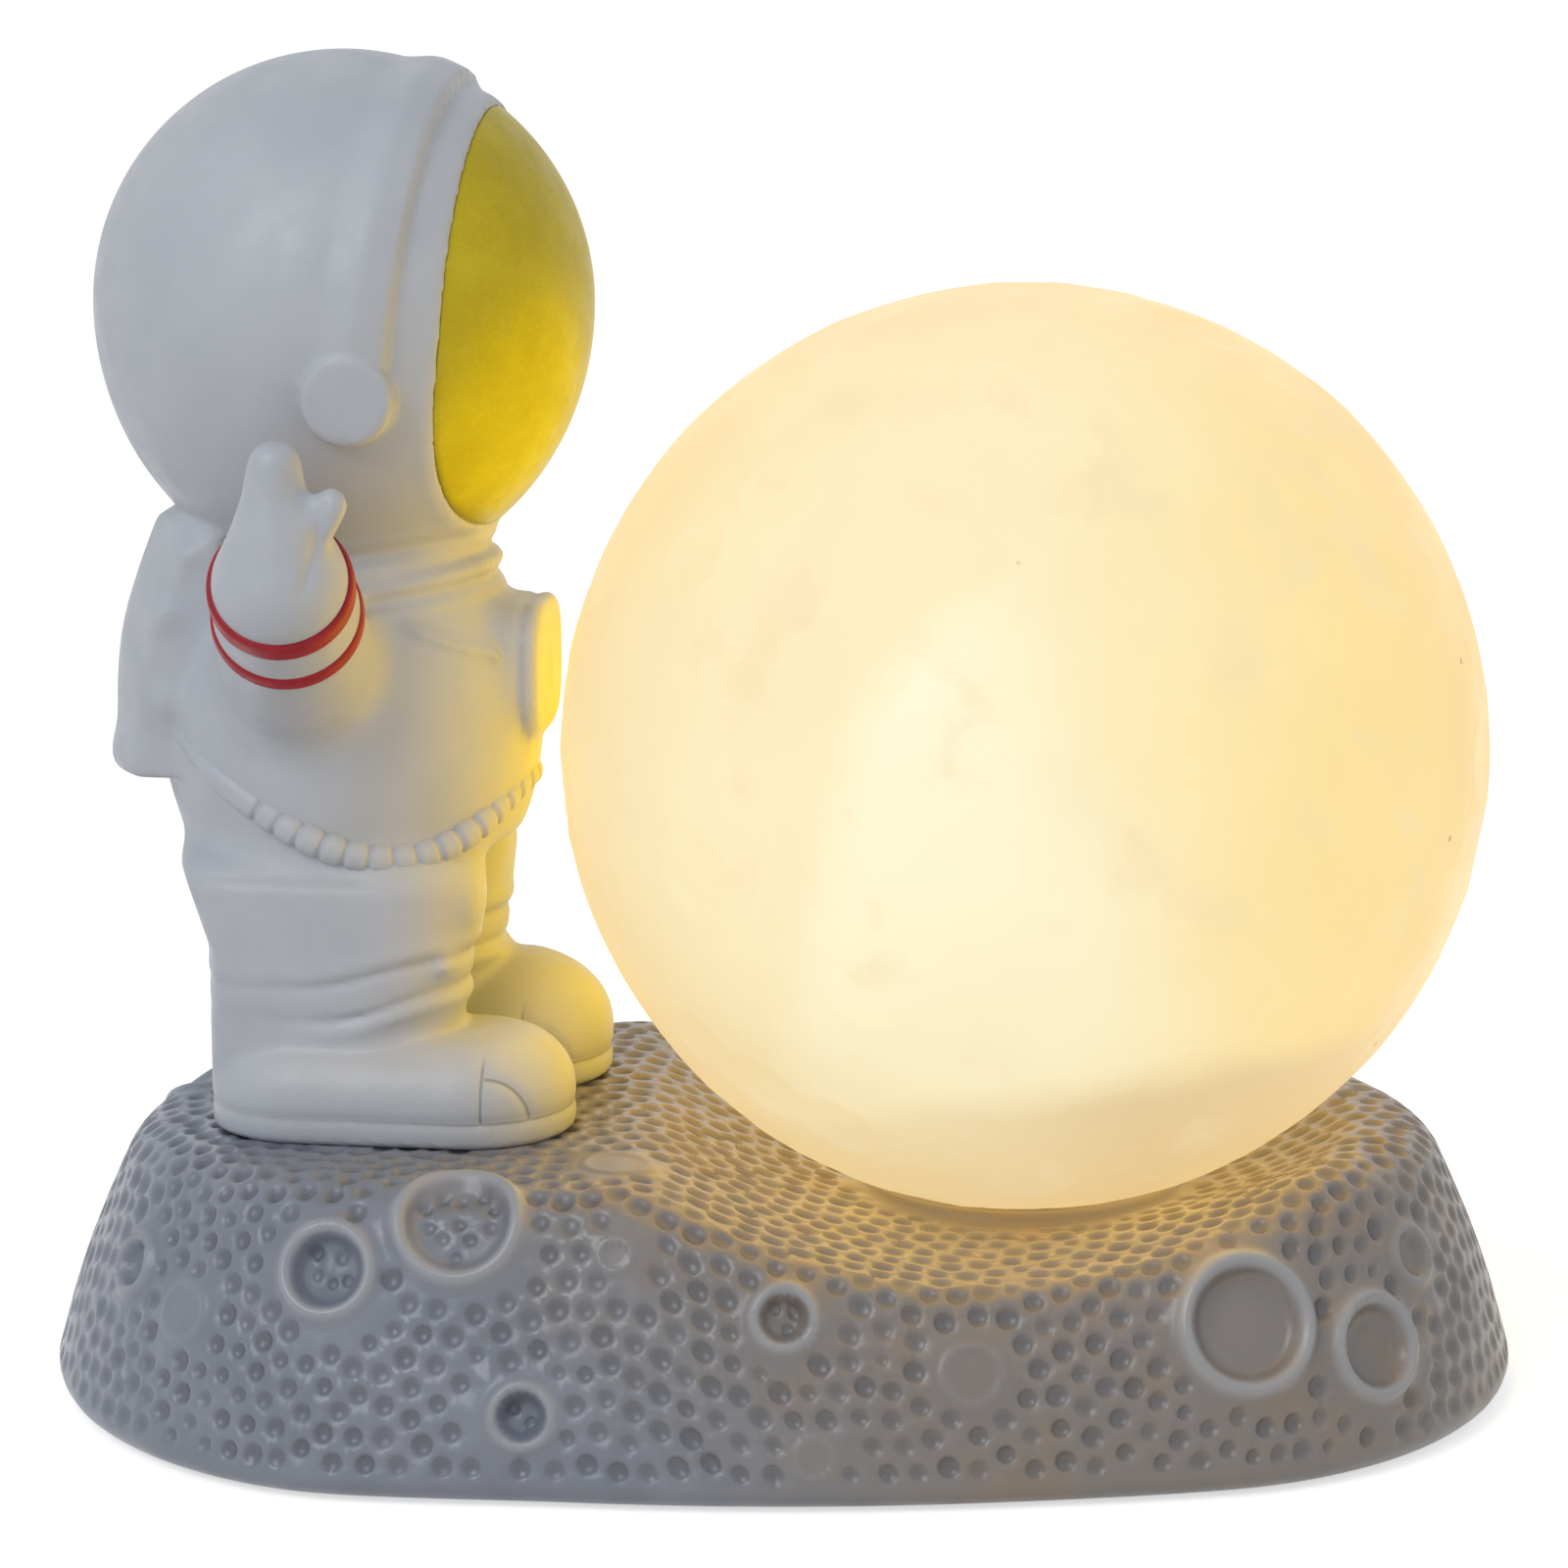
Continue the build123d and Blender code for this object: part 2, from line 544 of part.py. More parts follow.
# Slide switch: housing with ears, slider and two screws
SLIDER_ROOM_LENGTH = SLIDER_LENGTH + SLIDER_TRAVEL + 2 * (SLIDER_CLEARANCE + SLIDER_END_ROOM)
SLIDER_ROOM_HEIGHT = SWITCH_HEIGHT / 2
with BuildPart(Plane((SWITCH_X, SWITCH_Y, COVER_TOP_Z))) as switch_body:
    Box(SWITCH_LENGTH, SWITCH_WIDTH, SWITCH_HEIGHT, align=LOW)
    fillet(switch_body.edges().group_by(Axis.Z)[-1], SWITCH_ROUND)
    Box(SWITCH_LENGTH + 2 * SWITCH_EAR, 0.8 * SWITCH_WIDTH, SWITCH_EAR_THICKNESS, align=LOW)
    Box(
        SLIDER_ROOM_LENGTH,
        SLIDER_WIDTH + 4 * SLIDER_CLEARANCE,
        SLIDER_ROOM_HEIGHT,
        align=LOW,
        mode=Mode.SUBTRACT,
    )
    with Locations((-EAR_X, 0, 0), (EAR_X, 0, 0)):
        Cylinder(SWITCH_SCREW_RADIUS, SWITCH_EAR_THICKNESS, align=LOW, mode=Mode.SUBTRACT)

SLIDER_REST_X = SWITCH_X - SLIDER_TRAVEL / 2
with BuildPart(Plane((SLIDER_REST_X, SWITCH_Y, COVER_TOP_Z))) as switch_slider:
    with Locations((0, 0, SLIDER_CLEARANCE)):
        Box(
            SLIDER_LENGTH + 2 * SLIDER_FLANGE,
            SLIDER_WIDTH + 2 * SLIDER_CLEARANCE,
            SLIDER_ROOM_HEIGHT - 2 * SLIDER_CLEARANCE,
            align=LOW,
        )
        Box(SLIDER_LENGTH, SLIDER_WIDTH, COVER_THICKNESS + SLIDER_CLEARANCE, align=HIGH)
    with Locations((0, 0, -COVER_THICKNESS)):
        with GridLocations(GROOVE_PITCH, 0, GROOVE_COUNT, 1):
            Box(GROOVE_WIDTH, SLIDER_WIDTH, GROOVE_DEPTH, align=LOW, mode=Mode.SUBTRACT)

SWITCH_HEAD_Z = COVER_TOP_Z + SWITCH_EAR_THICKNESS
with BuildPart(Plane((SWITCH_X, SWITCH_Y, SWITCH_HEAD_Z))) as switch_screws:
    with Locations((-EAR_X, 0, 0), (EAR_X, 0, 0)):
        Cylinder(SWITCH_HEAD_RADIUS, SWITCH_HEAD_HEIGHT, align=LOW)
        Cylinder(SWITCH_SCREW_RADIUS, SWITCH_EAR_THICKNESS + COVER_THICKNESS / 2, align=HIGH)
    fillet(switch_screws.edges().group_by(Axis.Z)[-1], 0.4 * SWITCH_HEAD_HEIGHT)
    with Locations((-EAR_X, 0, SWITCH_HEAD_HEIGHT), (EAR_X, 0, SWITCH_HEAD_HEIGHT)):
        Box(
            SWITCH_HEAD_RADIUS / 0.75,
            SWITCH_SLOT_WIDTH,
            0.4 * SWITCH_HEAD_HEIGHT,
            align=HIGH,
            mode=Mode.SUBTRACT,
        )

# Lamp holder: spigot in the seat, flange inside the globe, stem for the board
with BuildPart(Plane((GLOBE_X, 0, SEAT_Z))) as lamp_holder:
    Cylinder(SPIGOT_RADIUS, SEAT_FLOOR + SPIGOT_EXTRA, align=HIGH)
    Cylinder(GLOBE_HOLE - HOLE_CLEARANCE, FLANGE_THICKNESS, align=LOW)
    fillet(lamp_holder.edges().group_by(Axis.Z)[-1], FLANGE_ROUND)
    Cylinder(STEM_RADIUS, FLANGE_THICKNESS + STEM_HEIGHT, align=LOW)
    with Locations((0, 0, FLANGE_THICKNESS + STEM_HEIGHT)):
        Cylinder(BOARD_RADIUS - BOARD_LIP, SHELF_THICKNESS, align=HIGH)
    with Locations((0, 0, -SEAT_FLOOR - SPIGOT_EXTRA)):
        Cylinder(
            STEM_BORE,
            SEAT_FLOOR + SPIGOT_EXTRA + FLANGE_THICKNESS + STEM_HEIGHT,
            align=LOW,
            mode=Mode.SUBTRACT,
        )

with BuildPart(Plane((GLOBE_X, 0, BOARD_Z))) as led_board:
    Cylinder(BOARD_RADIUS, BOARD_THICKNESS, align=LOW)

with BuildPart(Plane((GLOBE_X, 0, BOARD_Z + BOARD_THICKNESS))) as led_chips:
    with PolarLocations(0.55 * BOARD_RADIUS, CHIP_COUNT):
        Box(CHIP_LENGTH, CHIP_WIDTH, CHIP_HEIGHT, align=LOW)
    chamfer(led_chips.edges().group_by(Axis.Z)[-1], CHIP_CHAMFER)

# Hollow translucent globe with a flat foot on the seat
with BuildPart(Plane((GLOBE_X, 0, GLOBE_Z))) as moon_globe:
    Sphere(GLOBE_RADIUS)
    Sphere(GLOBE_RADIUS - GLOBE_WALL, mode=Mode.SUBTRACT)
    split(bisect_by=Plane.XY.offset(SEAT_Z), keep=Keep.TOP)
    Cylinder(GLOBE_HOLE, GLOBE_RADIUS, align=HIGH, mode=Mode.SUBTRACT)

# Internal leads from the contacts to the switch and the board
LEAD_Z = COVER_TOP_Z + SWITCH_HEIGHT / 2
SWITCH_BACK_Y = SWITCH_Y + SWITCH_WIDTH / 2
with BuildPart() as lead_battery:
    with BuildLine() as battery_run:
        FilletPolyline(
            (BOX_FRONT_X, -CELL_PITCH, CELL_Z),
            (BOX_FRONT_X + BOX_WALL + LEAD_RUN, -CELL_PITCH, CELL_Z),
            (SWITCH_X - LEAD_SPREAD, -CELL_PITCH, LEAD_Z),
            (SWITCH_X - LEAD_SPREAD, SWITCH_BACK_Y, LEAD_Z),
            radius=LEAD_BEND,
        )
    with BuildSketch(Plane((BOX_FRONT_X, -CELL_PITCH, CELL_Z), z_dir=(1, 0, 0))):
        Circle(LEAD_RADIUS)
    sweep(path=battery_run.line)

with BuildPart() as lead_switch:
    with BuildLine() as switch_run:
        FilletPolyline(
            (SWITCH_X + LEAD_SPREAD, SWITCH_BACK_Y, LEAD_Z),
            (SWITCH_X + LEAD_SPREAD, 0, LEAD_Z),
            (GLOBE_X + LEAD_PAIR, 0, LEAD_Z),
            (GLOBE_X + LEAD_PAIR, 0, BOARD_Z),
            radius=LEAD_BEND,
        )
    with BuildSketch(Plane((SWITCH_X + LEAD_SPREAD, SWITCH_BACK_Y, LEAD_Z), z_dir=(0, 1, 0))):
        Circle(LEAD_RADIUS)
    sweep(path=switch_run.line)

RETURN_X = BOX_REAR_X - BOX_WALL - LEAD_CLEARANCE
RETURN_Y = BOX_ROOM_WIDTH / 2 + BOX_WALL + LEAD_CLEARANCE
with BuildPart() as lead_return:
    with BuildLine() as return_run:
        FilletPolyline(
            (BOX_REAR_X, CELL_PITCH, CELL_Z),
            (RETURN_X, CELL_PITCH, CELL_Z),
            (RETURN_X, RETURN_Y, CELL_Z),
            (GLOBE_X - LEAD_PAIR, RETURN_Y, CELL_Z),
            (GLOBE_X - LEAD_PAIR, 0, CELL_Z),
            (GLOBE_X - LEAD_PAIR, 0, BOARD_Z),
            radius=LEAD_BEND,
        )
    with BuildSketch(Plane((BOX_REAR_X, CELL_PITCH, CELL_Z), z_dir=(-1, 0, 0))):
        Circle(LEAD_RADIUS)
    sweep(path=return_run.line)

# Boots: rounded toe box in front and a shaft that narrows toward the heel
with BuildPart(FIGURE.offset(BASE_TOP_Z)) as right_boot:
    with BuildSketch(FIGURE.offset(BASE_TOP_Z)):
        with Locations((BOOT_FORWARD, -LEG_SIDE - SOLE_FLARE / 2)):
            SlotOverall(BOOT_LENGTH, BOOT_WIDTH + SOLE_FLARE)
    extrude(amount=TOE_HEIGHT)
    fillet(right_boot.edges().group_by(Axis.Z)[-1], 0.6 * TOE_HEIGHT)
    with BuildSketch(FIGURE.offset(BASE_TOP_Z)):
        with Locations((LEG_FORWARD, -LEG_SIDE)):
            SlotOverall(0.84 * LEG_DEPTH, BOOT_WIDTH - SHAFT_FOOT_TRIM)
    with BuildSketch(FIGURE.offset(BOOT_TOP_Z)):
        with Locations((LEG_FORWARD, -LEG_SIDE)):
            SlotOverall(0.95 * LEG_DEPTH, BOOT_WIDTH - SHAFT_TOP_TRIM)
    loft()
    with BuildSketch(FIGURE.offset(BASE_TOP_Z)):
        with Locations(PEG_POINTS[0]):
            Circle(PEG_RADIUS)
    extrude(amount=PEG_DEPTH, mode=Mode.SUBTRACT)

with BuildPart(FIGURE.offset(BASE_TOP_Z)) as left_boot:
    with BuildSketch(FIGURE.offset(BASE_TOP_Z)):
        with Locations((BOOT_FORWARD, LEG_SIDE + SOLE_FLARE / 2)):
            SlotOverall(BOOT_LENGTH, BOOT_WIDTH + SOLE_FLARE)
    extrude(amount=TOE_HEIGHT)
    fillet(left_boot.edges().group_by(Axis.Z)[-1], 0.6 * TOE_HEIGHT)
    with BuildSketch(FIGURE.offset(BASE_TOP_Z)):
        with Locations((LEG_FORWARD, LEG_SIDE)):
            SlotOverall(0.84 * LEG_DEPTH, BOOT_WIDTH - SHAFT_FOOT_TRIM)
    with BuildSketch(FIGURE.offset(BOOT_TOP_Z)):
        with Locations((LEG_FORWARD, LEG_SIDE)):
            SlotOverall(0.95 * LEG_DEPTH, BOOT_WIDTH - SHAFT_TOP_TRIM)
    loft()
    with BuildSketch(FIGURE.offset(BASE_TOP_Z)):
        with Locations(PEG_POINTS[1]):
            Circle(PEG_RADIUS)
    extrude(amount=PEG_DEPTH, mode=Mode.SUBTRACT)

# Steel pins that hold the boots on the base
with BuildPart(FIGURE.offset(BASE_TOP_Z)) as foot_pins:
    with Locations(*PEG_POINTS):
        Cylinder(PEG_RADIUS, 2 * PEG_DEPTH)

# Trouser legs, wider at the hem than at the boot
with BuildPart(FIGURE.offset(BOOT_TOP_Z)) as right_leg:
    with BuildSketch(FIGURE.offset(BOOT_TOP_Z)):
        with Locations((LEG_FORWARD, -LEG_SIDE)):
            SlotOverall(LEG_DEPTH - CUFF_TRIM, BOOT_WIDTH)
    with BuildSketch(FIGURE.offset(HEM_Z)):
        with Locations((LEG_FORWARD, -LEG_SIDE)):
            SlotOverall(LEG_DEPTH + HEM_FLARE, BOOT_WIDTH)
    loft()
    fillet(right_leg.edges().group_by(Axis.Z)[-1], LEG_HEM_ROUND)
    fillet(right_leg.edges().group_by(Axis.Z)[0], CUFF_ROUND)

with BuildPart(FIGURE.offset(BOOT_TOP_Z)) as left_leg:
    with BuildSketch(FIGURE.offset(BOOT_TOP_Z)):
        with Locations((LEG_FORWARD, LEG_SIDE)):
            SlotOverall(LEG_DEPTH - CUFF_TRIM, BOOT_WIDTH)
    with BuildSketch(FIGURE.offset(HEM_Z)):
        with Locations((LEG_FORWARD, LEG_SIDE)):
            SlotOverall(LEG_DEPTH + HEM_FLARE, BOOT_WIDTH)
    loft()
    fillet(left_leg.edges().group_by(Axis.Z)[-1], LEG_HEM_ROUND)
    fillet(left_leg.edges().group_by(Axis.Z)[0], CUFF_ROUND)

# Torso with a belly, hollowed on top for the helmet
with BuildPart() as torso:
    revolve(torso_profile(0), axis=FIGURE_AXIS)
    fillet(torso.edges().group_by(Axis.Z)[0], TORSO_HEM_ROUND)
    with Locations(FIGURE.offset(HEAD_Z)):
        Sphere(HEAD_RADIUS, mode=Mode.SUBTRACT)

# Helmet ball and visor, both turned about the line the visor looks along
VISOR_AIM = FIGURE.from_local_coords(
    Vector(cos(radians(VISOR_PITCH)), 0, sin(radians(VISOR_PITCH)))
) - FIGURE.origin
HEAD_CENTRE = FIGURE.offset(HEAD_Z).origin
HEAD_SECTION = Plane(HEAD_CENTRE, x_dir=VISOR_AIM, z_dir=FIGURE.y_dir)
HEAD_AXIS = Axis(HEAD_CENTRE, VISOR_AIM)
POCKET_RADIUS = HEAD_RADIUS - VISOR_THICKNESS
EDGE_X = HEAD_RADIUS * cos(radians(VISOR_HALF_ANGLE))
EDGE_Y = HEAD_RADIUS * sin(radians(VISOR_HALF_ANGLE))
POCKET_Y = sqrt(POCKET_RADIUS**2 - EDGE_X**2)
HALF_TURN = radians(VISOR_HALF_ANGLE / 2)
POCKET_MIDDLE = (POCKET_RADIUS * cos(HALF_TURN), POCKET_RADIUS * sin(HALF_TURN))
VISOR_MIDDLE = (HEAD_RADIUS * cos(HALF_TURN), HEAD_RADIUS * sin(HALF_TURN))

with BuildPart() as helmet:
    with BuildSketch(HEAD_SECTION):
        with BuildLine():
            ThreePointArc((-HEAD_RADIUS, 0), (0, HEAD_RADIUS), (EDGE_X, EDGE_Y))
            Line((EDGE_X, EDGE_Y), (EDGE_X, POCKET_Y))
            ThreePointArc((EDGE_X, POCKET_Y), POCKET_MIDDLE, (POCKET_RADIUS, 0))
            Line((POCKET_RADIUS, 0), (-HEAD_RADIUS, 0))
        make_face()
    revolve(axis=HEAD_AXIS)

with BuildPart() as visor:
    with BuildSketch(HEAD_SECTION):
        with BuildLine():
            ThreePointArc((EDGE_X, EDGE_Y), VISOR_MIDDLE, (HEAD_RADIUS, 0))
            Line((HEAD_RADIUS, 0), (POCKET_RADIUS, 0))
            ThreePointArc((POCKET_RADIUS, 0), POCKET_MIDDLE, (EDGE_X, POCKET_Y))
            Line((EDGE_X, POCKET_Y), (EDGE_X, EDGE_Y))
        make_face()
    revolve(axis=HEAD_AXIS)

# Raised hood band from ear to ear over the top
BAND_AIM = (cos(radians(BAND_PITCH)), 0, sin(radians(BAND_PITCH)))
BAND_PLANE = figure_plane((0, 0, HEAD_Z), BAND_AIM)
with BuildPart(FIGURE.offset(HEAD_Z)) as hood_band:
    Sphere(HEAD_RADIUS + BAND_RISE)
    split(bisect_by=BAND_PLANE.offset(BAND_FORWARD + BAND_WIDTH / 2), keep=Keep.BOTTOM)
    split(bisect_by=BAND_PLANE.offset(BAND_FORWARD - BAND_WIDTH / 2), keep=Keep.TOP)
    split(bisect_by=FIGURE.offset(HEAD_Z - EAR_DROP), keep=Keep.TOP)
    Sphere(HEAD_RADIUS, mode=Mode.SUBTRACT)

# Ear discs on both sides of the helmet
EAR_SIDE = sqrt(HEAD_RADIUS**2 - EAR_FORWARD**2 - EAR_DROP**2)
EAR_RIGHT = figure_plane((EAR_FORWARD, EAR_ROOT - EAR_SIDE, HEAD_Z - EAR_DROP), (0, -1, 0))
EAR_LEFT = figure_plane((EAR_FORWARD, EAR_SIDE - EAR_ROOT, HEAD_Z - EAR_DROP), (0, 1, 0))
with BuildPart() as ear_disc_right:
    with Locations(EAR_RIGHT):
        Cylinder(EAR_RADIUS, EAR_ROOT + EAR_RISE, align=LOW)
    fillet(ear_disc_right.edges().sort_by(Axis(EAR_RIGHT.origin, EAR_RIGHT.z_dir))[-1:], EAR_ROUND)
    add(helmet.part, mode=Mode.SUBTRACT)
    add(hood_band.part, mode=Mode.SUBTRACT)

with BuildPart() as ear_disc_left:
    with Locations(EAR_LEFT):
        Cylinder(EAR_RADIUS, EAR_ROOT + EAR_RISE, align=LOW)
    fillet(ear_disc_left.edges().sort_by(Axis(EAR_LEFT.origin, EAR_LEFT.z_dir))[-1:], EAR_ROUND)
    add(helmet.part, mode=Mode.SUBTRACT)
    add(hood_band.part, mode=Mode.SUBTRACT)

# Neck ring: two soft rolls between torso and helmet
with BuildPart() as neck_ring:
    with Locations(FIGURE.offset(TORSO_TOP_Z + UPPER_ROLL_RISE)):
        Torus(NECK_RADIUS - UPPER_ROLL_INSET, UPPER_ROLL_RADIUS)
    with Locations(FIGURE.offset(TORSO_TOP_Z - LOWER_ROLL_DROP)):
        Torus(NECK_RADIUS + LOWER_ROLL_REACH, LOWER_ROLL_RADIUS)
        Cylinder(NECK_RADIUS - COLLAR_INSET, COLLAR_HEIGHT, align=LOW)
    with Locations(FIGURE.offset(HEAD_Z)):
        Sphere(HEAD_RADIUS, mode=Mode.SUBTRACT)
    with Locations(FIGURE.offset(TORSO_TOP_Z)):
        Cylinder(NECK_RADIUS - NECK_BORE_INSET, 2 * NECK_BORE_DEPTH, mode=Mode.SUBTRACT)
    add(torso.part, mode=Mode.SUBTRACT)

# Backpack on the back of the torso
BACK_X = -BELLY_RADIUS - BACKPACK_REACH
with BuildPart() as backpack:
    with BuildSketch(SIDE_SECTION) as pack_side:
        with BuildLine():
            Polyline(
                (-BACKPACK_ROOT, HEM_Z + BACKPACK_ROOT_Z),
                (-BACKPACK_ROOT, TORSO_TOP_Z + BACKPACK_TOP),
                (BACK_X + BACKPACK_SHOULDER_X, TORSO_TOP_Z + BACKPACK_TOP + BACKPACK_CREST),
                (BACK_X + BACKPACK_SLOPE_X, TORSO_TOP_Z - BACKPACK_SLOPE),
                (BACK_X, HEM_Z + BACKPACK_LEDGE_Z),
                (BACK_X - BACKPACK_BOX_X, HEM_Z + BACKPACK_BOX_TOP),
                (BACK_X - BACKPACK_BOX_X, HEM_Z + BACKPACK_BOX_FOOT),
                (BACK_X + BACKPACK_FOOT_X, HEM_Z + BACKPACK_FOOT_Z),
                close=True,
            )
        make_face()
        fillet(pack_side.vertices().sort_by(Axis.X)[:4], BACKPACK_CORNER)
    extrude(amount=BACKPACK_WIDTH / 2, both=True)
    fillet(backpack.faces().sort_by(SortBy.AREA)[-2:].edges(), BACKPACK_ROUND)
    add(torso.part, mode=Mode.SUBTRACT)
    add(neck_ring.part, mode=Mode.SUBTRACT)
    add(helmet.part, mode=Mode.SUBTRACT)

# Chest pack in front of the torso
PACK_Z = HEM_Z + 0.6 * TORSO_HEIGHT
PACK_PLANE = Plane(
    FIGURE.from_local_coords(Vector(PACK_FRONT, 0, PACK_Z)),
    x_dir=FIGURE.y_dir,
    z_dir=FIGURE.x_dir,
)
with BuildPart() as chest_pack:
    with BuildSketch(PACK_PLANE):
        RectangleRounded(PACK_WIDTH, PACK_HEIGHT, 0.35 * PACK_HEIGHT)
    extrude(amount=-PACK_FRONT / 2)
    fillet(
        chest_pack.faces().sort_by(Axis(PACK_PLANE.origin, PACK_PLANE.z_dir))[-1].edges(),
        PACK_ROUND,
    )
    add(torso.part, mode=Mode.SUBTRACT)

# Harness strap from the chest pack up over the shoulders
STRAP_AIM = (sin(radians(STRAP_PITCH)), 0, cos(radians(STRAP_PITCH)))
STRAP_PLANE = figure_plane((PACK_FRONT - STRAP_BACK, 0, PACK_Z + STRAP_RISE_ON_PACK), STRAP_AIM)
with BuildPart() as harness_strap:
    revolve(torso_profile(STRAP_RISE), axis=FIGURE_AXIS)
    split(bisect_by=STRAP_PLANE.offset(STRAP_WIDTH / 2), keep=Keep.BOTTOM)
    split(bisect_by=STRAP_PLANE.offset(-STRAP_WIDTH / 2), keep=Keep.TOP)
    add(torso.part, mode=Mode.SUBTRACT)
    add(chest_pack.part, mode=Mode.SUBTRACT)
    add(neck_ring.part, mode=Mode.SUBTRACT)
    add(backpack.part, mode=Mode.SUBTRACT)
    with Locations(FIGURE.offset(HEAD_Z)):
        Sphere(HEAD_RADIUS, mode=Mode.SUBTRACT)


def hose_point(turn):
    """Centre of a hose bead at an angle from straight ahead, hanging lowest at the sides."""
    swing = abs(turn)
    if swing <= HOSE_LOW_TURN:
        height = HOSE_LOW + HOSE_FRONT_RISE * cos(radians(swing * 90.0 / HOSE_LOW_TURN)) ** 2
    else:
        quarter = 90.0 * (swing - HOSE_LOW_TURN) / (HOSE_REAR_TURN - HOSE_LOW_TURN)
        height = HOSE_LOW + HOSE_REAR_RISE * sin(radians(quarter)) ** 2
    share = min(1.0, height / (BELLY_Z - HEM_Z))
    reach = HEM_RADIUS + (BELLY_RADIUS - HEM_RADIUS) * share + 0.4 * BEAD_RADIUS
    return Vector(reach * cos(radians(turn)), reach * sin(radians(turn)), HEM_Z + height)


def hose_plane(turn):
    """Plane across the hose at an angle from straight ahead."""
    return figure_plane(hose_point(turn), hose_point(turn + 1.0) - hose_point(turn - 1.0))


# Waist hose: a chain of beads round the front, both ends at the backpack
BEAD_TURN = HOSE_END_TURN / BEAD_COUNT
with BuildPart() as waist_hose:
    for step in range(-BEAD_COUNT, BEAD_COUNT + 1):
        with Locations(hose_plane(BEAD_TURN * step)):
            Sphere(BEAD_RADIUS)
    add(torso.part, mode=Mode.SUBTRACT)
    add(backpack.part, mode=Mode.SUBTRACT)
    add(right_leg.part, mode=Mode.SUBTRACT)
    add(left_leg.part, mode=Mode.SUBTRACT)

# Right arm, raised sideways, with two stripes and a mitten that points up
ARM_AIM = (0.115, -0.822, 0.55)
ARM_PLANE = figure_plane((-SHOULDER_BACK, -0.63 * BELLY_RADIUS, SHOULDER_Z), ARM_AIM)
with BuildPart() as right_sleeve:
    with Locations(ARM_PLANE):
        Cone(SLEEVE_ROOT_RADIUS, SLEEVE_END_RADIUS, SLEEVE_LENGTH, align=LOW)
    fillet(
        right_sleeve.edges().sort_by(Axis(ARM_PLANE.origin, ARM_PLANE.z_dir))[-1:],
        SLEEVE_END_ROUND,
    )
    with Locations(ARM_PLANE):
        Sphere(SLEEVE_ROOT_RADIUS)
    add(torso.part, mode=Mode.SUBTRACT)
    add(backpack.part, mode=Mode.SUBTRACT)
    add(neck_ring.part, mode=Mode.SUBTRACT)
    add(harness_strap.part, mode=Mode.SUBTRACT)

SLEEVE_SLOPE = (SLEEVE_ROOT_RADIUS - SLEEVE_END_RADIUS) / SLEEVE_LENGTH
with BuildPart(ARM_PLANE) as sleeve_bands:
    for place in (STRIPE_FIRST, STRIPE_SECOND):
        near_radius = SLEEVE_ROOT_RADIUS - SLEEVE_SLOPE * (place - STRIPE_WIDTH / 2)
        far_radius = SLEEVE_ROOT_RADIUS - SLEEVE_SLOPE * (place + STRIPE_WIDTH / 2)
        with Locations((0, 0, place - STRIPE_WIDTH / 2)):
            Cone(near_radius + STRIPE_RISE, far_radius + STRIPE_RISE, STRIPE_WIDTH, align=LOW)
            Cone(near_radius, far_radius, STRIPE_WIDTH, align=LOW, mode=Mode.SUBTRACT)

HAND_ROOT = ARM_PLANE.from_local_coords(Vector(0, 0, SLEEVE_LENGTH - HAND_SINK))
HAND_PLANE = Plane(HAND_ROOT, x_dir=FIGURE.x_dir, z_dir=(0.0, -0.16, 0.987))
THUMB_RADIUS = 0.36 * HAND_RADIUS
THUMB_LENGTH = 0.3 * HAND_LENGTH
with BuildPart() as right_hand:
    with Locations(HAND_PLANE):
        Cone(HAND_RADIUS, 0.45 * HAND_RADIUS, HAND_LENGTH, align=LOW)
    fillet(right_hand.edges().sort_by(Axis(HAND_ROOT, HAND_PLANE.z_dir))[-1:], 0.4 * HAND_RADIUS)
    with Locations(HAND_PLANE):
        Sphere(HAND_RADIUS)
        with Locations(Location((0.5 * HAND_RADIUS, 0, 0.3 * HAND_LENGTH), (0, 35, 0))):
            Cylinder(THUMB_RADIUS, THUMB_LENGTH, align=LOW)
            with Locations((0, 0, THUMB_LENGTH)):
                Sphere(THUMB_RADIUS)
    add(right_sleeve.part, mode=Mode.SUBTRACT)

# Left arm, held a little away from the body
LEFT_ARM_AIM = (0.05, 0.75, -0.66)
LEFT_ARM_PLANE = figure_plane((-SHOULDER_BACK, 0.63 * BELLY_RADIUS, SHOULDER_Z), LEFT_ARM_AIM)
with BuildPart() as left_sleeve:
    with Locations(LEFT_ARM_PLANE):
        Cone(SLEEVE_ROOT_RADIUS, SLEEVE_END_RADIUS - LEFT_SLEEVE_TRIM, LEFT_SLEEVE_LENGTH, align=LOW)
    fillet(
        left_sleeve.edges().sort_by(Axis(LEFT_ARM_PLANE.origin, LEFT_ARM_PLANE.z_dir))[-1:],
        LEFT_SLEEVE_ROUND,
    )
    with Locations(LEFT_ARM_PLANE):
        Sphere(SLEEVE_ROOT_RADIUS)
    add(torso.part, mode=Mode.SUBTRACT)
    add(backpack.part, mode=Mode.SUBTRACT)
    add(neck_ring.part, mode=Mode.SUBTRACT)
    add(harness_strap.part, mode=Mode.SUBTRACT)
    add(waist_hose.part, mode=Mode.SUBTRACT)

LEFT_PALM_PLANE = LEFT_ARM_PLANE.offset(LEFT_SLEEVE_LENGTH + 0.5 * LEFT_HAND_RADIUS)
with BuildPart() as left_hand:
    with Locations(LEFT_PALM_PLANE):
        Sphere(LEFT_HAND_RADIUS)
    with Locations(LEFT_PALM_PLANE.offset(0.6 * LEFT_HAND_RADIUS)):
        Sphere(0.85 * LEFT_HAND_RADIUS)
    add(left_sleeve.part, mode=Mode.SUBTRACT)

